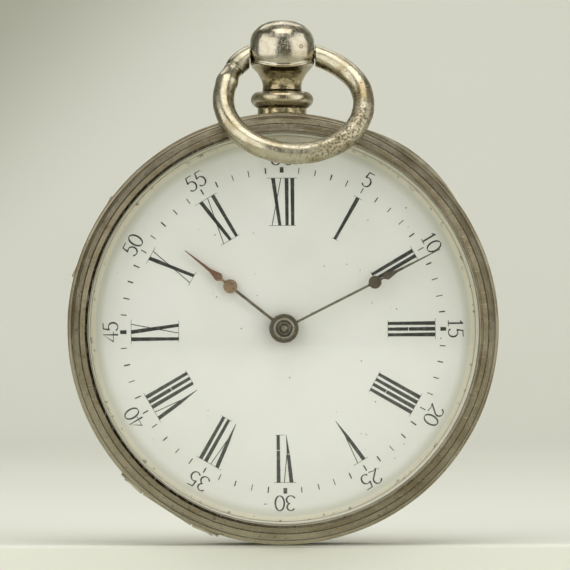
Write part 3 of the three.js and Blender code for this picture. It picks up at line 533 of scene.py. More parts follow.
def knob_silver():
    """The knob is the smoothest part: a long scratch, a ring dent, and a brown foot with a brassy spot."""
    f = Finish("pendant_silver_knob")
    colour, drift, normal = worn_silver(f, tone(182, 176, 158), tone(156, 147, 124), 0.012)
    foot = f.ramp(f.coordinate("Z"), KNOB_FOOT_TOP, KNOB_FOOT_TOP - 0.25)
    colour = f.over(colour, foot, 0.8, tone(140, 127, 94))
    spot = f.times(f.within(f.coordinate("Z"), *BRASSY_SPOT, 0.25), f.patches(0.3, 5, 0.46, 0.62))
    colour = f.over(colour, spot, 0.7, tone(206, 192, 148))
    scratch = f.mark(*SCRATCH, 0.05)
    ring = f.line(f.radius(RING_DENT), 0.14, 0.06)
    flaws = f.maths("MAXIMUM", scratch, ring)
    colour = f.over(colour, flaws, 0.45, tone(84, 76, 58))
    normal = f.bump(f.times(flaws, -1.0), 0.02, normal)
    return f.done(colour, f.ramp(drift, 0.3, 0.7, 0.14, 0.24), normal=normal)


def bow_silver():
    """The bow has a satin wear, is pitted low on its right, and has a grey solder joint high on its left."""
    f = Finish("pendant_silver_bow")
    colour, drift, normal = worn_silver(f, tone(184, 177, 154), tone(154, 144, 116), 0.01)
    rotten = f.times(f.ramp(f.coordinate("X"), -2.5, 5.5), f.ramp(f.coordinate("Z"), 22.5, 20.0))
    pits = f.times(f.patches(0.22, 5, 0.5, 0.6), rotten)
    colour = f.over(colour, pits, 0.7, tone(70, 58, 36))
    normal = f.bump(f.times(pits, -1.0), 0.02, normal)
    joint = f.radius(SOLDER_AT)
    colour = f.over(colour, f.ramp(joint, 1.3, 0.7), 0.6, tone(118, 114, 96))
    rough = f.maths("ADD", f.ramp(drift, 0.3, 0.7, 0.2, 0.34), f.times(rotten, 0.12))
    return f.done(colour, rough, normal=normal)


# Clock angles of two dark gaps at the dial's edge, whose shadow is painted on the enamel.
SHADOWED_GAP_CLOCKS = (36, 97)


def enamel():
    """Warm white enamel: painted grey shade near its edge, a cream rim, faint dirt, painted shadow of two
    gaps at its edge, and a few specks.
    """
    f = Finish("enamel_dial")
    radius = f.radius()
    colour = f.mix(f.patches(9.0, 3, 0.35, 0.65), tone(243, 243, 241), tone(238, 238, 234))
    # Painted shade where the dial's edge dishes back.
    shade = f.times(f.ramp(radius, 16.4, 17.2), 0.5)
    colour = f.mix(shade, colour, tone(206, 207, 194))
    colour = f.mix(f.ramp(radius, 17.3, 17.5), colour, tone(240, 237, 224))
    dirt = f.times(f.ramp(radius, 17.4, 17.75), f.patches(0.6, 5, 0.56, 0.7))
    # Painted shadow of the gaps between the dial and the bezel, joined to the dirt at the edge.
    for clock in SHADOWED_GAP_CLOCKS:
        place = f.times(f.ramp(f.toward(clock), 0.994, 0.998), f.ramp(radius, 17.5, 17.62))
        dirt = f.maths("MAXIMUM", dirt, place)
    colour = f.over(colour, dirt, 0.75, tone(92, 80, 56))
    specks = f.times(f.spots(1.9, 0.05), f.patches(3.0, 2, 0.5, 0.56))
    colour = f.over(colour, specks, 0.7, tone(120, 118, 106))
    normal = f.bump(f.noise(5.0, 2), 0.006)
    return f.done(colour, f.patches(2.0, 3, 0.3, 0.7, 0.16, 0.24), 0.0, normal)


def ink():
    """Fired black figures with paler worn places."""
    f = Finish("dial_ink")
    thin = f.patches(0.3, 4, 0.45, 0.75)
    colour = f.mix(thin, tone(42, 44, 40), tone(86, 88, 80))
    return f.done(colour, 0.35, 0.0, f.bump(f.noise(0.2, 3), 0.003))


def hand_metal(name, clean, stained, dark, *stretches):
    """Thin hand metal with stains and rust. Each stretch has its starting radius, a fade and a tone."""
    f = Finish(name)
    colour = f.mix(f.patches(0.8, 5, 0.35, 0.66), clean, stained)
    for start, fade, other in stretches:
        colour = f.over(colour, f.ramp(f.radius(), start, start + fade), 0.85, other)
    colour = f.over(colour, f.patches(0.25, 4, 0.55, 0.7), 0.7, dark)
    rough = f.patches(0.4, 4, 0.3, 0.7, 0.32, 0.55)
    return f.done(colour, rough, 0.85, f.bump(f.noise(0.22, 4), 0.006))


def movement_metal(name, clean, dull, rough_low, rough_high, grain):
    """A movement piece's metal: its tone varies softly, over a fine grain of the given depth."""
    f = Finish(name)
    colour = f.mix(f.patches(2.4, 4, 0.35, 0.68), clean, dull)
    rough = f.patches(0.5, 4, 0.3, 0.7, rough_low, rough_high)
    normal = f.bump(f.noise(0.09, 3), grain)
    return f.done(colour, rough, 1.0, f.bump(scratches(f), 0.002, normal))


def glass():
    """Thin clear glass: most light passes, and its gloss follows the viewing angle."""
    f = Finish("crystal_glass_clear")
    clear = f.add("ShaderNodeBsdfTransparent", {"Color": (0.985, 0.99, 0.98, 1)})
    rough = f.patches(2.0, 4, 0.4, 0.7, 0.03, 0.09)
    gloss = f.add("ShaderNodeBsdfGlossy", {"Roughness": rough, "Normal": f.bump(f.noise(9.0, 2), 0.02)})
    edge_on = f.add("ShaderNodeLayerWeight", {"Blend": 0.5})
    steep = f.maths("POWER", edge_on.outputs["Facing"], 5.0)
    share = f.maths("MULTIPLY_ADD", steep, 0.96, 0.04)
    mixed = f.add("ShaderNodeMixShader", {0: share, 1: clear.outputs[0], 2: gloss.outputs[0]})
    return f.close(mixed.outputs[0])


def ruby():
    """A polished jewel."""
    f = Finish("ruby_jewel")
    colour = f.mix(f.patches(0.5, 3, 0.35, 0.65), tone(150, 22, 52), tone(196, 44, 78))
    return f.done(colour, 0.08, 0.0, f.bump(f.noise(0.6, 2), 0.002))


CASE_SILVER = case_silver()
BACK_SILVER = back_silver()
ENAMEL = enamel()
INK = ink()
GLASS = glass()
RUBY = ruby()
HAND_COPPER = hand_metal(
    "hand_copper", tone(140, 132, 112), tone(108, 98, 80), tone(62, 50, 40),
    (5.5, 0.3, tone(176, 148, 122)), (7.0, 1.2, tone(132, 92, 76)),
)
# The stretch that starts at radius 0.78 is a painted highlight on the minute hand boss's raised ring.
HAND_STEEL = hand_metal(
    "hand_steel", tone(170, 166, 148), tone(132, 126, 108), tone(62, 56, 46),
    (0.22, 0.08, tone(92, 88, 76)), (0.4, 0.1, tone(136, 130, 112)), (0.78, 0.08, tone(190, 186, 168)),
    (0.9, 0.08, tone(128, 122, 106)), (1.04, 0.06, tone(98, 90, 74)), (1.36, 0.1, tone(140, 136, 118)),
    (8.7, 0.2, tone(104, 92, 80)), (11.8, 0.8, tone(134, 128, 110)),
)
AGED_STEEL = hand_metal("aged_steel", tone(138, 134, 120), tone(96, 90, 80), tone(48, 42, 36))
GILT = movement_metal("gilt_plate", tone(222, 184, 104), tone(196, 156, 82), 0.3, 0.44, 0.004)
BRASS = movement_metal("wheel_brass_fine", tone(224, 190, 108), tone(190, 152, 78), 0.18, 0.32, 0.0015)
STEEL = movement_metal("polished_steel", tone(186, 188, 192), tone(150, 152, 158), 0.12, 0.26, 0.0012)
BLUED = movement_metal("blued_steel_bright", tone(44, 62, 128), tone(34, 42, 86), 0.12, 0.24, 0.001)


# ------------------------ case
def wobble(depth, size):
    """Slight unevenness from wear, depth deep and about size across."""
    return lambda co: co + co.normalized() * depth * (noise.noise(co / size) - 0.5)


def bezel_profile():
    """The front ring: a bead, a groove, and a wide band with two faint grooves and a deep one."""
    inner, corner, outer = Vector((18.98, -4.14)), Vector((19.4, -3.64)), Vector((19.74, -2.96))
    band = []
    for start, end, grooves in (
        (inner, corner, ((0.35, 0.008, 0.03), (0.8, 0.008, 0.03))), (corner, outer, ((0.5, 0.04, 0.08),)),
    ):
        way = (end - start).normalized()
        inwards = Vector((way.y, -way.x)) if way.y < 0 else Vector((-way.y, way.x))
        band.append(start)
        for share, depth, half in grooves:
            middle = start.lerp(end, share)
            band += [middle - way * half, middle + inwards * depth, middle + way * half]
    return [
        (18.1, -4.42), (18.12, -4.58), (18.22, -4.65), (18.34, -4.6), (18.42, -4.46), (18.5, -4.44),
        (18.84, -4.36), (18.91, -4.2), *band, outer, (19.76, -2.88), (19.9, -2.86), (19.99, -2.7),
        (19.99, -2.52), (19.9, -2.34), (19.82, SEAM_FRONT - PLAY), (18.92, SEAM_FRONT - PLAY), (18.92, -2.64),
        (17.95, -2.64), (17.95, -4.0), (18.36, -4.0), (18.36, -4.42),
    ]


def thumb_lip(clock, y):
    """A thin crescent proud of a rim: a disc set off centre, less the rim's own inside."""
    disc_r = 14
    disc = rod("lip", disc_r, y, polar(CASE_R + 0.33 - disc_r, clock), sides=160, edge=0.1)
    return cut(disc, rod("inside", CASE_R - 0.6, (y[0] - 1, y[1] + 1), sides=SMOOTH_SIDES))


def hinged_cover(ring, hinge, *extras):
    """A cover with its moving knuckle and the room for the two fixed ones."""
    middle = hinge["middle"]
    joined = join(ring, tube(hinge, KNUCKLE_R, (-middle + 0.05, middle - 0.05)), *extras)
    rooms = [tube(hinge, KNUCKLE_R + TURNING_ROOM, span) for span in both_ends(middle, hinge["end"] + 0.15)]
    return cut(joined, *rooms, tube(hinge, PIN_BORE_R, PIN_SPAN))


def bandward(hinge, near, far):
    """A span of y from near to far of a hinge line, on the band's side."""
    return (near, far) if hinge["side"] > 0 else (-far, -near)


def make_bezel():
    ring = turned("bezel_turned", rounded(bezel_profile(), 0.035, 3), FINE_SIDES, warp=wobble(0.02, 2.4))
    cut(ring, block("filed_flat", (-5.5, 5.5), (-0.75, 0.2), (0.24, 1.2), hinge_frame(BEZEL_HINGE)))
    made = hinged_cover(ring, BEZEL_HINGE, thumb_lip(BEZEL_LIP_CLOCK, (-2.9, -2.4)))
    show(made, CASE_SILVER, "bezel", "case_silver", "bezel")


def make_band():
    profile = [
        (17.9, -2.58), (18.85, -2.58), (18.85, SEAM_FRONT + PLAY), (19.7, SEAM_FRONT + PLAY), (19.8, -1.6),
        (19.8, 1.8), (19.7, SEAM_BACK - PLAY), (18.85, SEAM_BACK - PLAY), (18.85, 2.78), (18.3, 2.78),
        (18.3, 2.2), (17.7, 2.2), (17.7, 0.14), (17.3, 0.14), (17.3, -1.04), (17.9, -1.04),
    ]
    band = turned("case_band_turned", rounded(profile, 0.06, 3), FINE_SIDES)
    hinges = (BEZEL_HINGE, BACK_HINGE)
    notches = []
    for hinge in hinges:
        crossing = math.sqrt(CASE_R ** 2 - hinge["radius"] ** 2) + 0.15
        along, across = (-crossing, crossing), bandward(hinge, -0.1, hinge["rim"] + 0.1)
        notches.append(block("notch", along, across, (-0.06, 1.2), hinge_frame(hinge)))
    cut(band, *notches)
    seats = []
    for hinge in hinges:
        for span in both_ends(hinge["middle"] + 0.05, hinge["end"]):
            outside = rod("outside", CASE_R + KNUCKLE_PROUD, (-5, 5), sides=SMOOTH_SIDES)
            seats.append(common(tube(hinge, KNUCKLE_R, span), outside))
            seats.append(block("seat", span, bandward(hinge, PLAY, 1.1), (-1.2, -0.02), hinge_frame(hinge)))
    for span in both_ends(CUVETTE_HINGE["middle"] + 0.1, CUVETTE_HINGE["end"]):
        seats.append(tube(CUVETTE_HINGE, CUVETTE_KNUCKLE_R, span))
    join(band, *seats)
    room = CUVETTE_HINGE["middle"] + 0.05
    cut(
        band,
        *[tube(h, KNUCKLE_R + TURNING_ROOM, (-h["middle"], h["middle"])) for h in hinges],
        block("room", (-room, room), (-0.5, 0.5), (-0.6, 0.5), hinge_frame(CUVETTE_HINGE)),
        *[tube(h, PIN_BORE_R, PIN_SPAN) for h in (*hinges, CUVETTE_HINGE)],
    )
    show(band, CASE_SILVER, "case", "case_silver", "case_band")


def make_back():
    profile = [
        (0, 4.98), (8, 4.98), (13, 4.7), (16.5, 4.2), (18.3, 3.6), (18.92, 3), (18.92, SEAM_BACK + PLAY),
        (19.84, SEAM_BACK + PLAY), (19.99, 2.76), (19.82, 3.05), (19.5, 3.5), (18.4, 4.3), (16.5, 4.88),
        (13, 5.34), (8, BACK_FACE), (0, BACK_FACE),
    ]
    shell = turned("back_cover_turned", rounded(profile, 0.9, 6), FINE_SIDES)
    made = hinged_cover(shell, BACK_HINGE, thumb_lip(BACK_LIP_CLOCK, (2.6, 3)))
    reach = CUVETTE_HINGE["end"] + 0.15
    cut(
        made,
        block("relief", (-5, 5), (-0.2, 0.6), (-0.95, -0.3), hinge_frame(BACK_HINGE)),
        tube(CUVETTE_HINGE, CUVETTE_KNUCKLE_R + 0.1, (-reach, reach)),
    )
    show(made, BACK_SILVER, "back", "case_silver", "back_cover")


def make_cuvette():
    profile = [
        (0, 3.45), (15.6, 3.45), (16.9, 2.95), (17.3, 2.24), (18.15, 2.24), (18.15, 2.6), (17.62, 2.66),
        (17.2, 3.3), (15.9, 3.85), (0, 3.85),
    ]
    shell = turned("cuvette_turned", rounded(profile, 0.2, 5), SMOOTH_SIDES)
    middle = CUVETTE_HINGE["middle"]
    arm = block("arm", (-middle, middle), (-0.35, -0.02), (-0.7, 0), hinge_frame(CUVETTE_HINGE))
    join(shell, tube(CUVETTE_HINGE, CUVETTE_KNUCKLE_R, (-middle, middle)), arm)
    key_holes = [rod("key_hole", 1.1, (3, 4.5), at) for at in ((0, 0), BARREL_AT)]
    cut(shell, *key_holes, tube(CUVETTE_HINGE, 0.2, PIN_SPAN))
    show(shell, BACK_SILVER, "cuvette", "case_silver", "cuvette")


def make_crystal():
    """A shallow dome whose edge snaps under the bezel's lip."""

    def dome(apex, rim, rim_r, steps):
        return [(rim_r * i / steps, apex + (rim - apex) * (i / steps) ** 2) for i in range(steps + 1)]

    front, inside = dome(-6.2, -4.4, 18.02, 40), dome(-5.5, -4.04, 17.6, 40)
    profile = [*front, (18.31, -4.4), (18.31, -4.04), *inside[::-1]]
    show(turned("crystal_domed", profile, 160), GLASS, "bezel", "crystal_glass", "crystal")


# ------------------------ pendant and bow
def make_neck():
    bead = curve((2.18, 21.35), (0.74, 0.74), -70, 70, 14)
    profile = [(1.23, 18.9), (2.27, 18.9), (2.27, 20.5), *bead, (1.9, 22.12), (1.23, 22.12)]
    neck = turned("pendant_neck_turned", rounded(profile, 0.06, 3), 96, upright=True, warp=wobble(0.02, 1.1))
    cut(
        neck,
        rod("band_inside", 19.86, (-3, 3), sides=SMOOTH_SIDES),
        rod("bezel_room", CASE_R + 0.1, (-6, SEAM_FRONT + 0.1), sides=SMOOTH_SIDES),
        rod("back_room", CASE_R + 0.1, (SEAM_BACK - 0.1, 6), sides=SMOOTH_SIDES),
    )
    show(neck, neck_silver(), "case", "pendant_silver", "pendant_neck")


def pivot_rods(radius, near, far):
    """A rod on the bow's pivot line at each side of the knob."""
    to_line = Matrix.Translation((0, 0, PIVOT_Z))
    return [moved(along_x("pivot", radius, span), to_line) for span in both_ends(near, far)]


def make_knob():
    """A ball with two flats, where the bow's pivots go in. The lip round its foot rises towards the flats."""
    profile = [
        (0, 20.05), (1.18, 20.05), (1.18, 22.16), (1.88, 22.16), (1.78, 22.5), (1.86, 23.05), (2.3, 23.85),
        (2.94, 24.36), (3.1, 24.46), (3.13, 24.62), (3.03, 24.76), (3.15, 25.14), (3.19, 25.85),
        (3.09, 26.75), (2.74, 27.6), (2.09, 28.27), (1.19, 28.66), (0, 28.78),
    ]
    softness = 0.05
    lip_z, lip_half, lip_rise, lip_dip = 24.6, 0.45, 0.07, 0.3

    def flattened(co):
        over = abs(co.x) - KNOB_FLAT
        held = KNOB_FLAT - softness * math.log1p(math.exp(-over / softness)) if over > -1 else abs(co.x)
        lip = math.exp(-(((co.z - lip_z) / lip_half) ** 2))
        return Vector((math.copysign(held, co.x), co.y, co.z + (lip_rise * held ** 2 - lip_dip) * lip))

    knob = turned("pendant_knob_turned", rounded(profile, 0.3, 6), 160, upright=True, warp=flattened)
    cut(knob, *pivot_rods(PIVOT_R + TURNING_ROOM, 1.7, 4))
    show(knob, knob_silver(), "case", "pendant_silver", "pendant_knob")


def bow_point(degrees):
    """A point of the ring's centreline, which is pulled to one side except near its ends, at the knob."""
    towards_end = min(max((abs(degrees) - 100) / 70, 0), 1)
    shift = BOW_SHIFT * (1 + math.cos(math.pi * towards_end)) / 2
    a = math.radians(degrees)
    below = BOW_DROP + BOW_HALF_HEIGHT * math.cos(a)
    x = BOW_HALF_WIDTH * math.sin(a) + shift
    return Vector((x, -below * math.sin(BOW_LEAN), PIVOT_Z - below * math.cos(BOW_LEAN)))


# Height, angle round the ring and half width of the filed stretch, the nick and the lump at the solder joint.
BOW_FLAWS = [(-0.13, -123, 6), (-0.08, -127.5, 1.2), (0.06, -111, 4)]


def bow_radius(degrees):
    """The wire's radius, with the flaws at its solder joint and slow dents all round."""
    radius = BOW_WIRE_R
    for height, at, half in BOW_FLAWS:
        radius += height * math.exp(-(((degrees - at) / half) ** 2))
    return radius + 0.03 * (noise.noise(Vector((degrees / 17, 3.1, 0))) - 0.5)


def make_bow():
    stations, around, reach = 300, 32, 160
    across = Vector((0, math.cos(BOW_LEAN), -math.sin(BOW_LEAN)))
    bm = bmesh.new()
    rings = []
    for i in range(stations + 1):
        degrees = -reach + 2 * reach * i / stations
        here = bow_point(degrees)
        way = (bow_point(degrees + 0.1) - bow_point(degrees - 0.1)).normalized()
        side = way.cross(across).normalized()
        radius = bow_radius(degrees)
        ring = []
        for k in range(around):
            a = TURN * k / around
            spot = here + (side * math.cos(a) + across * math.sin(a)) * radius
            uneven = 0.014 * (noise.noise(spot / 0.8) - 0.5)
            ring.append(bm.verts.new(spot + (spot - here).normalized() * uneven))
        rings.append(ring)
    skin(bm, rings)
    wire = make_object("bow_ring", bm)
    cut(wire, block("gap", (-WIRE_END, WIRE_END), (-3, 3), (PIVOT_Z - 3, PIVOT_Z + 3)))
    join(wire, *pivot_rods(PIVOT_R, 1.8, 3.6))
    show(wire, bow_silver(), "bow", "pendant_silver", "bow")


# ------------------------ dial
def strip(bm, points, widths):
    """A flat stroke of ink just proud of the enamel, through (x, z) points, with its width at each."""
    rows = []
    for i, point in enumerate(points):
        before, after = Vector(points[max(i - 1, 0)]), Vector(points[min(i + 1, len(points) - 1)])
        way = (after - before).normalized()
        aside = Vector((-way.y, way.x)) * widths[i] / 2
        left, right = Vector(point) + aside, Vector(point) - aside
        corners = ((left, INK_FRONT), (right, INK_FRONT), (right, INK_BACK), (left, INK_BACK))
        rows.append([bm.verts.new((p.x, y, p.y)) for p, y in corners])
    skin(bm, rows)


PRINT_TURN, PRINT_DROP = -0.6, 0.16


def on_dial(clock, across, out):
    """The (x, z) place at a distance out from the print's centre, and across clockwise from a clock angle."""
    a = math.radians(clock + PRINT_TURN)
    return out * math.sin(a) + across * math.cos(a), out * math.cos(a) - across * math.sin(a) - PRINT_DROP


NUMERAL_FOOT, NUMERAL_TOP = 9.7, 14.1
BAR_TOP, BAR_FOOT, BAR_PITCH, THIN_WIDTH = 0.36, 0.29, 0.53, 0.075
STROKE_SPREAD = {"I": 0.0, "V": 0.66, "X": 0.86}
LINE_WIDTHS = (0.035, 0.035)
ROMAN = ["XII", "I", "II", "III", "IIII", "V", "VI", "VII", "VIII", "IX", "X", "XI"]


def stroke(bm, clock, top, foot, widths, chance, until=1.0, point_from=None, steps=14):
    """One painted bar of a numeral from its top towards its foot, uneven, and now and then nicked."""
    nick = chance.uniform(0.2, 0.8)
    ends = (0.0, nick - 0.006, nick + 0.006, until) if chance.random() < 0.15 and until == 1 else (0.0, until)
    for start, end in zip(ends[::2], ends[1::2]):
        points, sizes = [], []
        for i in range(steps + 1):
            t = start + (end - start) * i / steps
            across, out = top + (foot - top) * t, NUMERAL_TOP + (NUMERAL_FOOT - NUMERAL_TOP) * t
            points.append(on_dial(clock, across, out))
            size = widths[0] + (widths[1] - widths[0]) * t
            if point_from and t > point_from:
                size *= 1 - 0.85 * (t - point_from) / (1 - point_from)
            sizes.append(size * chance.uniform(0.95, 1.04))
        strip(bm, points, sizes)


def roman(bm, clock, text, chance):
    """A Roman numeral with its feet towards the centre, between two fine lines."""
    bar, thin = (BAR_TOP, BAR_FOOT), (THIN_WIDTH, THIN_WIDTH)
    width = sum(STROKE_SPREAD[c] for c in text) + BAR_PITCH * (len(text) - 1)
    at = -width / 2
    for letter in text:
        spread = STROKE_SPREAD[letter]
        if letter == "I":
            stroke(bm, clock, at, at, bar, chance)
        elif letter == "V":
            apex = at + spread * 0.68
            stroke(bm, clock, at, apex, bar, chance, point_from=0.55)
            stroke(bm, clock, at + spread, at + spread * 0.34, thin, chance, until=0.6)
        else:
            lean = spread * 0.15
            stroke(bm, clock, at + lean, at + spread - lean, bar, chance)
            stroke(bm, clock, at + spread, at, thin, chance)
        at += spread + BAR_PITCH
    for out, reach in ((NUMERAL_TOP, width / 2 + 0.45), (NUMERAL_FOOT, width / 2 + 0.3)):
        pointed = out == NUMERAL_FOOT
        left = 0 if pointed and text[0] == "V" else reach
        right = 0 if pointed and text[-1] == "V" else reach
        if left + right > 0:
            strip(bm, [on_dial(clock, -left, out), on_dial(clock, right, out)], LINE_WIDTHS)


# Each figure is one or two strokes in a box one unit tall.
FIGURES = {
    "0": [curve((0.32, 0.5), (0.3, 0.5), 90, 450, 24)],
    "1": [[(0.06, 0.8), (0.22, 1.0), (0.22, 0.0)], [(0.02, 0.0), (0.42, 0.0)]],
    "2": [curve((0.3, 0.72), (0.27, 0.28), 165, -35) + [(0.02, 0.02), (0.3, 0.09), (0.6, 0.02)]],
    "3": [curve((0.28, 0.76), (0.25, 0.24), 155, -80) + curve((0.28, 0.27), (0.29, 0.27), 78, -160)],
    "4": [[(0.46, 0.0), (0.46, 1.0), (0.0, 0.3), (0.66, 0.3)]],
    "5": [[(0.56, 1.0), (0.16, 0.98), (0.1, 0.56)] + curve((0.28, 0.32), (0.29, 0.32), 125, -145)],
    "6": [curve((0.62, 0.32), (0.58, 0.68), 98, 180) + curve((0.32, 0.3), (0.28, 0.3), 180, 520, 20)],
}
FIGURE_FOOT, FIGURE_HEIGHT, FIGURE_WIDTH = 15.32, 1.38, 0.6
FIGURE_HAIRLINE, FIGURE_SWELL = 0.07, 0.09
FIGURE_ADVANCE = {"1": 0.56, "6": 0.84}


def minute_figures(bm, minute):
    """A minute's number outside the track, its top outwards."""
    text = str(minute)
    advance = FIGURE_ADVANCE.get(text[0], 0.7)
    width = advance * (len(text) - 1) + FIGURE_WIDTH
    for place, digit in enumerate(text):
        left = (place * advance - width / 2) * FIGURE_HEIGHT
        for points in FIGURES[digit]:
            spots, widths = [], []
            for i, (x, up) in enumerate(points):
                spots.append(on_dial(minute * 6, left + x * FIGURE_HEIGHT, FIGURE_FOOT + up * FIGURE_HEIGHT))
                x0, up0 = points[max(i - 1, 0)]
                x1, up1 = points[min(i + 1, len(points) - 1)]
                steep = abs(up1 - up0) / max(math.hypot(x1 - x0, up1 - up0), 1e-6)
                widths.append(FIGURE_HAIRLINE + FIGURE_SWELL * steep)
            strip(bm, spots, widths)


def make_dial():
    edge = [(DIAL_R - 1.2 * (1 - i / 12), DIAL_FRONT + 0.27 * (i / 12) ** 2) for i in range(13)]
    face = [(r, DIAL_FRONT) for r in (1.15, 8, 16)]
    profile = [*face, *edge, (DIAL_R, DIAL_BACK), (1.15, DIAL_BACK)]
    feet = [rod("foot", 0.4, (DIAL_BACK - 0.2, -0.3), polar(15.9, clock)) for clock in (12, 138, 262)]
    plate = join(turned("dial_enamelled", rounded(profile, 0.06, 3), FINE_SIDES), *feet)
    show(plate, ENAMEL, "case", "enamel", "dial")


def make_figures():
    chance = random.Random(7)
    bm = bmesh.new()
    for hour, text in enumerate(ROMAN):
        roman(bm, hour * 30, text, chance)
    show(make_object("dial_numerals", bm), INK, "case", None)

    bm = bmesh.new()
    track_in, track_out, quarter_widths = 14.56, 15.12, (0.36, 0.33)
    specks, speck_reach = 34, 16.5
    for minute in range(60):
        clock = minute * 6 + chance.uniform(-0.12, 0.12)
        inner = track_in + chance.uniform(-0.05, 0.05)
        widths = quarter_widths if minute % 15 == 0 else [chance.uniform(0.07, 0.13)] * 2
        strip(bm, [on_dial(clock, 0, r) for r in (inner, track_out)], widths)
    for minute in range(5, 61, 5):
        minute_figures(bm, minute)
    for _ in range(specks):
        speck = on_dial(chance.uniform(0, 360), 0, speck_reach * math.sqrt(chance.uniform(0.02, 1)))
        size = chance.uniform(0.05, 0.13)
        strip(bm, [speck, (speck[0] + size * 0.8, speck[1] + size * 0.3)], (size, size * 0.7))
    stray = on_dial(187, 0, 16.2)
    strip(bm, [stray, (stray[0] + 0.3, stray[1] + 0.03)], (0.06, 0.05))
    show(make_object("dial_minute_track", bm), INK, "case", None)


# ------------------------ hands
def blade(name, outline, y, edge=0.02):
    """A flat outline in (x, z) given a thickness in y and softened edges."""
    shape = bpy.data.curves.new(name, "CURVE")
    shape.dimensions = "2D"
    shape.fill_mode = "BOTH"
    spline = shape.splines.new("POLY")
    spline.points.add(len(outline) - 1)
    for point, (x, z) in zip(spline.points, outline):
        point.co = (x, z, 0, 1)
    spline.use_cyclic_u = True
    shape.extrude = (y[1] - y[0]) / 2 - edge
    shape.bevel_depth = edge
    shape.bevel_resolution = 2
    shape.offset = -edge
    holder = add_object(name, shape)
    bpy.context.view_layer.update()
    mesh = bpy.data.meshes.new_from_object(holder.evaluated_get(bpy.context.evaluated_depsgraph_get()))
    bpy.data.objects.remove(holder)
    bm = bmesh.new()
    bm.from_mesh(mesh)
    bmesh.ops.remove_doubles(bm, verts=bm.verts, dist=1e-4)
    lie_down = Matrix.Translation((0, (y[0] + y[1]) / 2, 0)) @ Matrix.Rotation(math.pi / 2, 4, "X")
    bmesh.ops.transform(bm, matrix=lie_down, verts=bm.verts)
    return make_object(name, bm)


def hand(name, length, disc_at, disc_r, barb_at, barb_half, bar_half, bore, y, boss):
    """A hand that points to twelve: a boss with turned rings, a thin bar, a disc, barbs and a long point."""
    right = [
        (bar_half, 1.0), (bar_half, disc_at), (bar_half * 0.8, barb_at - 0.9),
        (barb_half * 0.8, barb_at - 0.62), (barb_half, barb_at - 0.5), (bar_half * 1.2, barb_at + 0.5),
        (0.035, length),
    ]
    made = blade(name, right + [(-x, z) for x, z in right[::-1]], y)
    disc = rod("disc", disc_r, (y[0] - 0.012, y[1] + 0.012), (0, disc_at), 48, 0.03)
    front, back = boss
    rim = [
        (bore, front + 0.1), (0.86, front + 0.04), (0.92, front + 0.04), (0.98, front + 0.12),
        (1.06, front + 0.12), (1.12, front), (1.26, front), (1.34, front + 0.08), (1.34, back), (bore, back),
    ]
    return join(made, disc, turned("boss", rounded(rim, 0.03, 3), 96))


def make_hands():
    hour = hand(
        "hour_hand_copper", length=11.65, disc_at=6.3, disc_r=0.65, barb_at=8.15, barb_half=0.42,
        bar_half=0.13, bore=0.98, y=(-2.92, -2.78), boss=(-3.02, -2.68),
    )
    minute = hand(
        "minute_hand_steel", length=16.2, disc_at=9.45, disc_r=0.6, barb_at=11.2, barb_half=0.36,
        bar_half=0.11, bore=0.67, y=(-3.5, -3.36), boss=(-3.72, -3.24),
    )
    moved(hour, Matrix.Rotation(math.radians(HOUR_HAND_CLOCK), 4, "Y"))
    moved(minute, Matrix.Rotation(math.radians(MINUTE_HAND_CLOCK), 4, "Y"))
    show(hour, HAND_COPPER, "hour", "hour_hand_copper", "hour_hand")
    show(minute, HAND_STEEL, "hand_setting", "minute_hand_steel", "minute_hand")


# ------------------------ movement
MOVEMENT = [
    (GILT, ["main_plate", "centre_bridge", "third_bridge", "fourth_bridge", "barrel_bridge", "escape_bridge",
            "balance_cock"]),
    (BRASS, ["barrel_drum", "barrel_cover", "centre_wheel", "third_wheel", "fourth_wheel", "hour_wheel",
             "minute_wheel", "balance_wheel"]),
    (RUBY, ["cap_jewel"]),
    (AGED_STEEL, ["cannon_pinion"]),
    (HAND_STEEL, ["setting_arbor"]),
    (BLUED, ["case_screw_1", "case_screw_2", "hairspring"]),
]
EDGE_WIDTH = 0.025


def dress_movement():
    """Gives every CAD node that still shows a finish, softened edges and smooth round sides."""
    finish_of = {name: surface for surface, names in MOVEMENT for name in names}
    for name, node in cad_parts.items():
        if node.hide_render:
            continue
        surface = finish_of.get(name, BLUED if "_screw" in name else STEEL)
        node.data.materials.clear()
        node.data.materials.append(surface)
        if "custom_normal" in node.data.attributes:
            node.data.attributes.remove(node.data.attributes["custom_normal"])
        weld = node.modifiers.new("weld", "WELD")
        weld.merge_threshold = 1e-6
        bevel = node.modifiers.new("bevel", "BEVEL")
        bevel.width = EDGE_WIDTH * MM
        bevel.segments = 2
        bevel.limit_method = "ANGLE"
        bevel.angle_limit = math.radians(50)


# ------------------------ stage, light and camera
FLOOR_Z = -20.05
STEP_Y = -7.4
STEP_DEPTH = 8.5
AIM = Vector((0.14, -8, 4.03)) * MM
CAMERA_DISTANCE = 0.375
CAMERA_YAW = math.radians(3)
CAMERA_PITCH = math.radians(-1)
SENSOR_WIDTH = 36
FOCAL_LENGTH = 255.7
LAMP_COLOUR = (1.0, 0.985, 0.96)
ROOM_COLOUR = (0.94, 0.95, 0.88, 1)
ROOM_STRENGTH = 0.22
# Azimuth, elevation, distance in metres, size in metres and power in watts of each lamp.
SOFTBOXES = {
    "left_box": (-56, 16, 0.6, (0.8, 0.68), 2.85),
    "right_box": (60, 16, 0.6, (0.74, 0.68), 2.55),
    "top_box": (2, 72, 0.6, (0.5, 0.4), 1.6),
    "back_box": (180, 50, 0.9, (0.9, 0.6), 3.0),
}


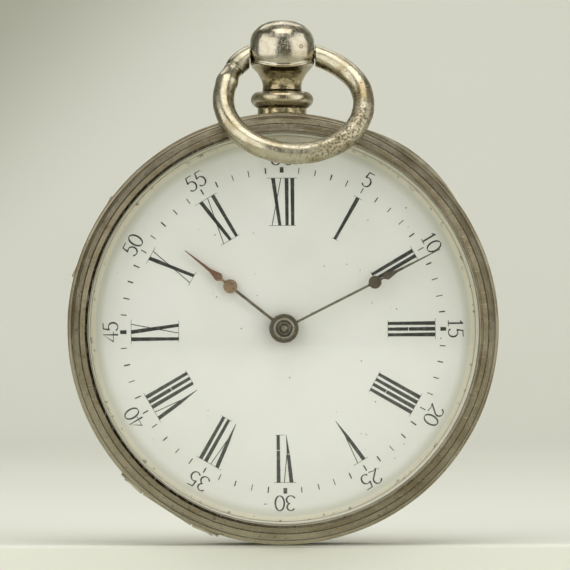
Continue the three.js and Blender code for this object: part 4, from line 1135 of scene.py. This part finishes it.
def make_stage():
    """A pale floor that curves up into a backdrop, with painted shade towards its top left. It drops in
    front, so the open bezel hangs clear.
    """
    width, front, reach, bend, height = 1600, -900, 420, 260, 1400
    steps = 24
    angles = [math.pi / 2 * i / steps for i in range(steps + 1)]
    arc = [(reach + bend * math.sin(a), FLOOR_Z + bend * (1 - math.cos(a))) for a in angles]
    low = FLOOR_Z - STEP_DEPTH
    step = [(STEP_Y, low), (STEP_Y, FLOOR_Z - 0.3), (STEP_Y + 0.09, FLOOR_Z - 0.09), (STEP_Y + 0.3, FLOOR_Z)]
    line = [(front, low), *step, *arc, (reach + bend, height)]
    bm = bmesh.new()
    rows = [[bm.verts.new((x, y, z)) for x in (-width, width)] for y, z in line]
    for here, there in zip(rows, rows[1:]):
        bm.faces.new((here[0], here[1], there[1], there[0]))
    floor = make_object("stage_floor", bm)
    floor.data.transform(Matrix.Scale(MM, 4))
    shade(floor.data, math.radians(20))
    f = Finish("stage_pale")
    colour = f.mix(f.patches(180, 3, 0.35, 0.65), tone(228, 229, 219), tone(225, 226, 215))
    # Painted shade: the backdrop is darkened towards the top left.
    corner = f.ramp(f.maths("SUBTRACT", f.coordinate("Z"), f.coordinate("X")), 50.0, 130.0, 0.0, 0.9)
    colour = f.mix(corner, colour, tone(168, 170, 153))
    floor.data.materials.append(f.done(colour, 0.85, 0.0))


def softbox(name, azimuth, elevation, distance, size, power):
    """A large lamp that faces the watch. Azimuth 0 is in front of it and 90 to its right."""
    lamp = bpy.data.lights.new(name, "AREA")
    lamp.shape = "RECTANGLE"
    lamp.size, lamp.size_y = size
    lamp.energy = power
    lamp.color = LAMP_COLOUR
    holder = add_object(name, lamp)
    a, e = math.radians(azimuth), math.radians(elevation)
    way = Vector((math.sin(a) * math.cos(e), -math.cos(a) * math.cos(e), math.sin(e)))
    holder.visible_camera = False
    holder.location = AIM + way * distance
    holder.rotation_euler = way.to_track_quat("Z", "Y").to_euler()


def make_lights():
    for name, setting in SOFTBOXES.items():
        softbox(name, *setting)
    world = bpy.data.worlds.new("room")
    bpy.context.scene.world = world
    world.use_nodes = True
    background = world.node_tree.nodes["Background"]
    background.inputs["Color"].default_value = ROOM_COLOUR
    background.inputs["Strength"].default_value = ROOM_STRENGTH
    bpy.context.scene.view_settings.view_transform = "Standard"


def make_camera():
    camera = add_object("camera", bpy.data.cameras.new("camera"))
    camera.data.sensor_width = SENSOR_WIDTH
    camera.data.lens = FOCAL_LENGTH
    way = Vector((
        -math.sin(CAMERA_YAW) * math.cos(CAMERA_PITCH),
        -math.cos(CAMERA_YAW) * math.cos(CAMERA_PITCH),
        math.sin(CAMERA_PITCH),
    ))
    camera.location = AIM + way * CAMERA_DISTANCE
    camera.rotation_euler = way.to_track_quat("Z", "Y").to_euler()
    bpy.context.scene.camera = camera


make_camera()
make_lights()
make_stage()
make_bezel()
make_band()
make_back()
make_cuvette()
make_crystal()
make_neck()
make_knob()
make_bow()
make_dial()
make_figures()
make_hands()
dress_movement()
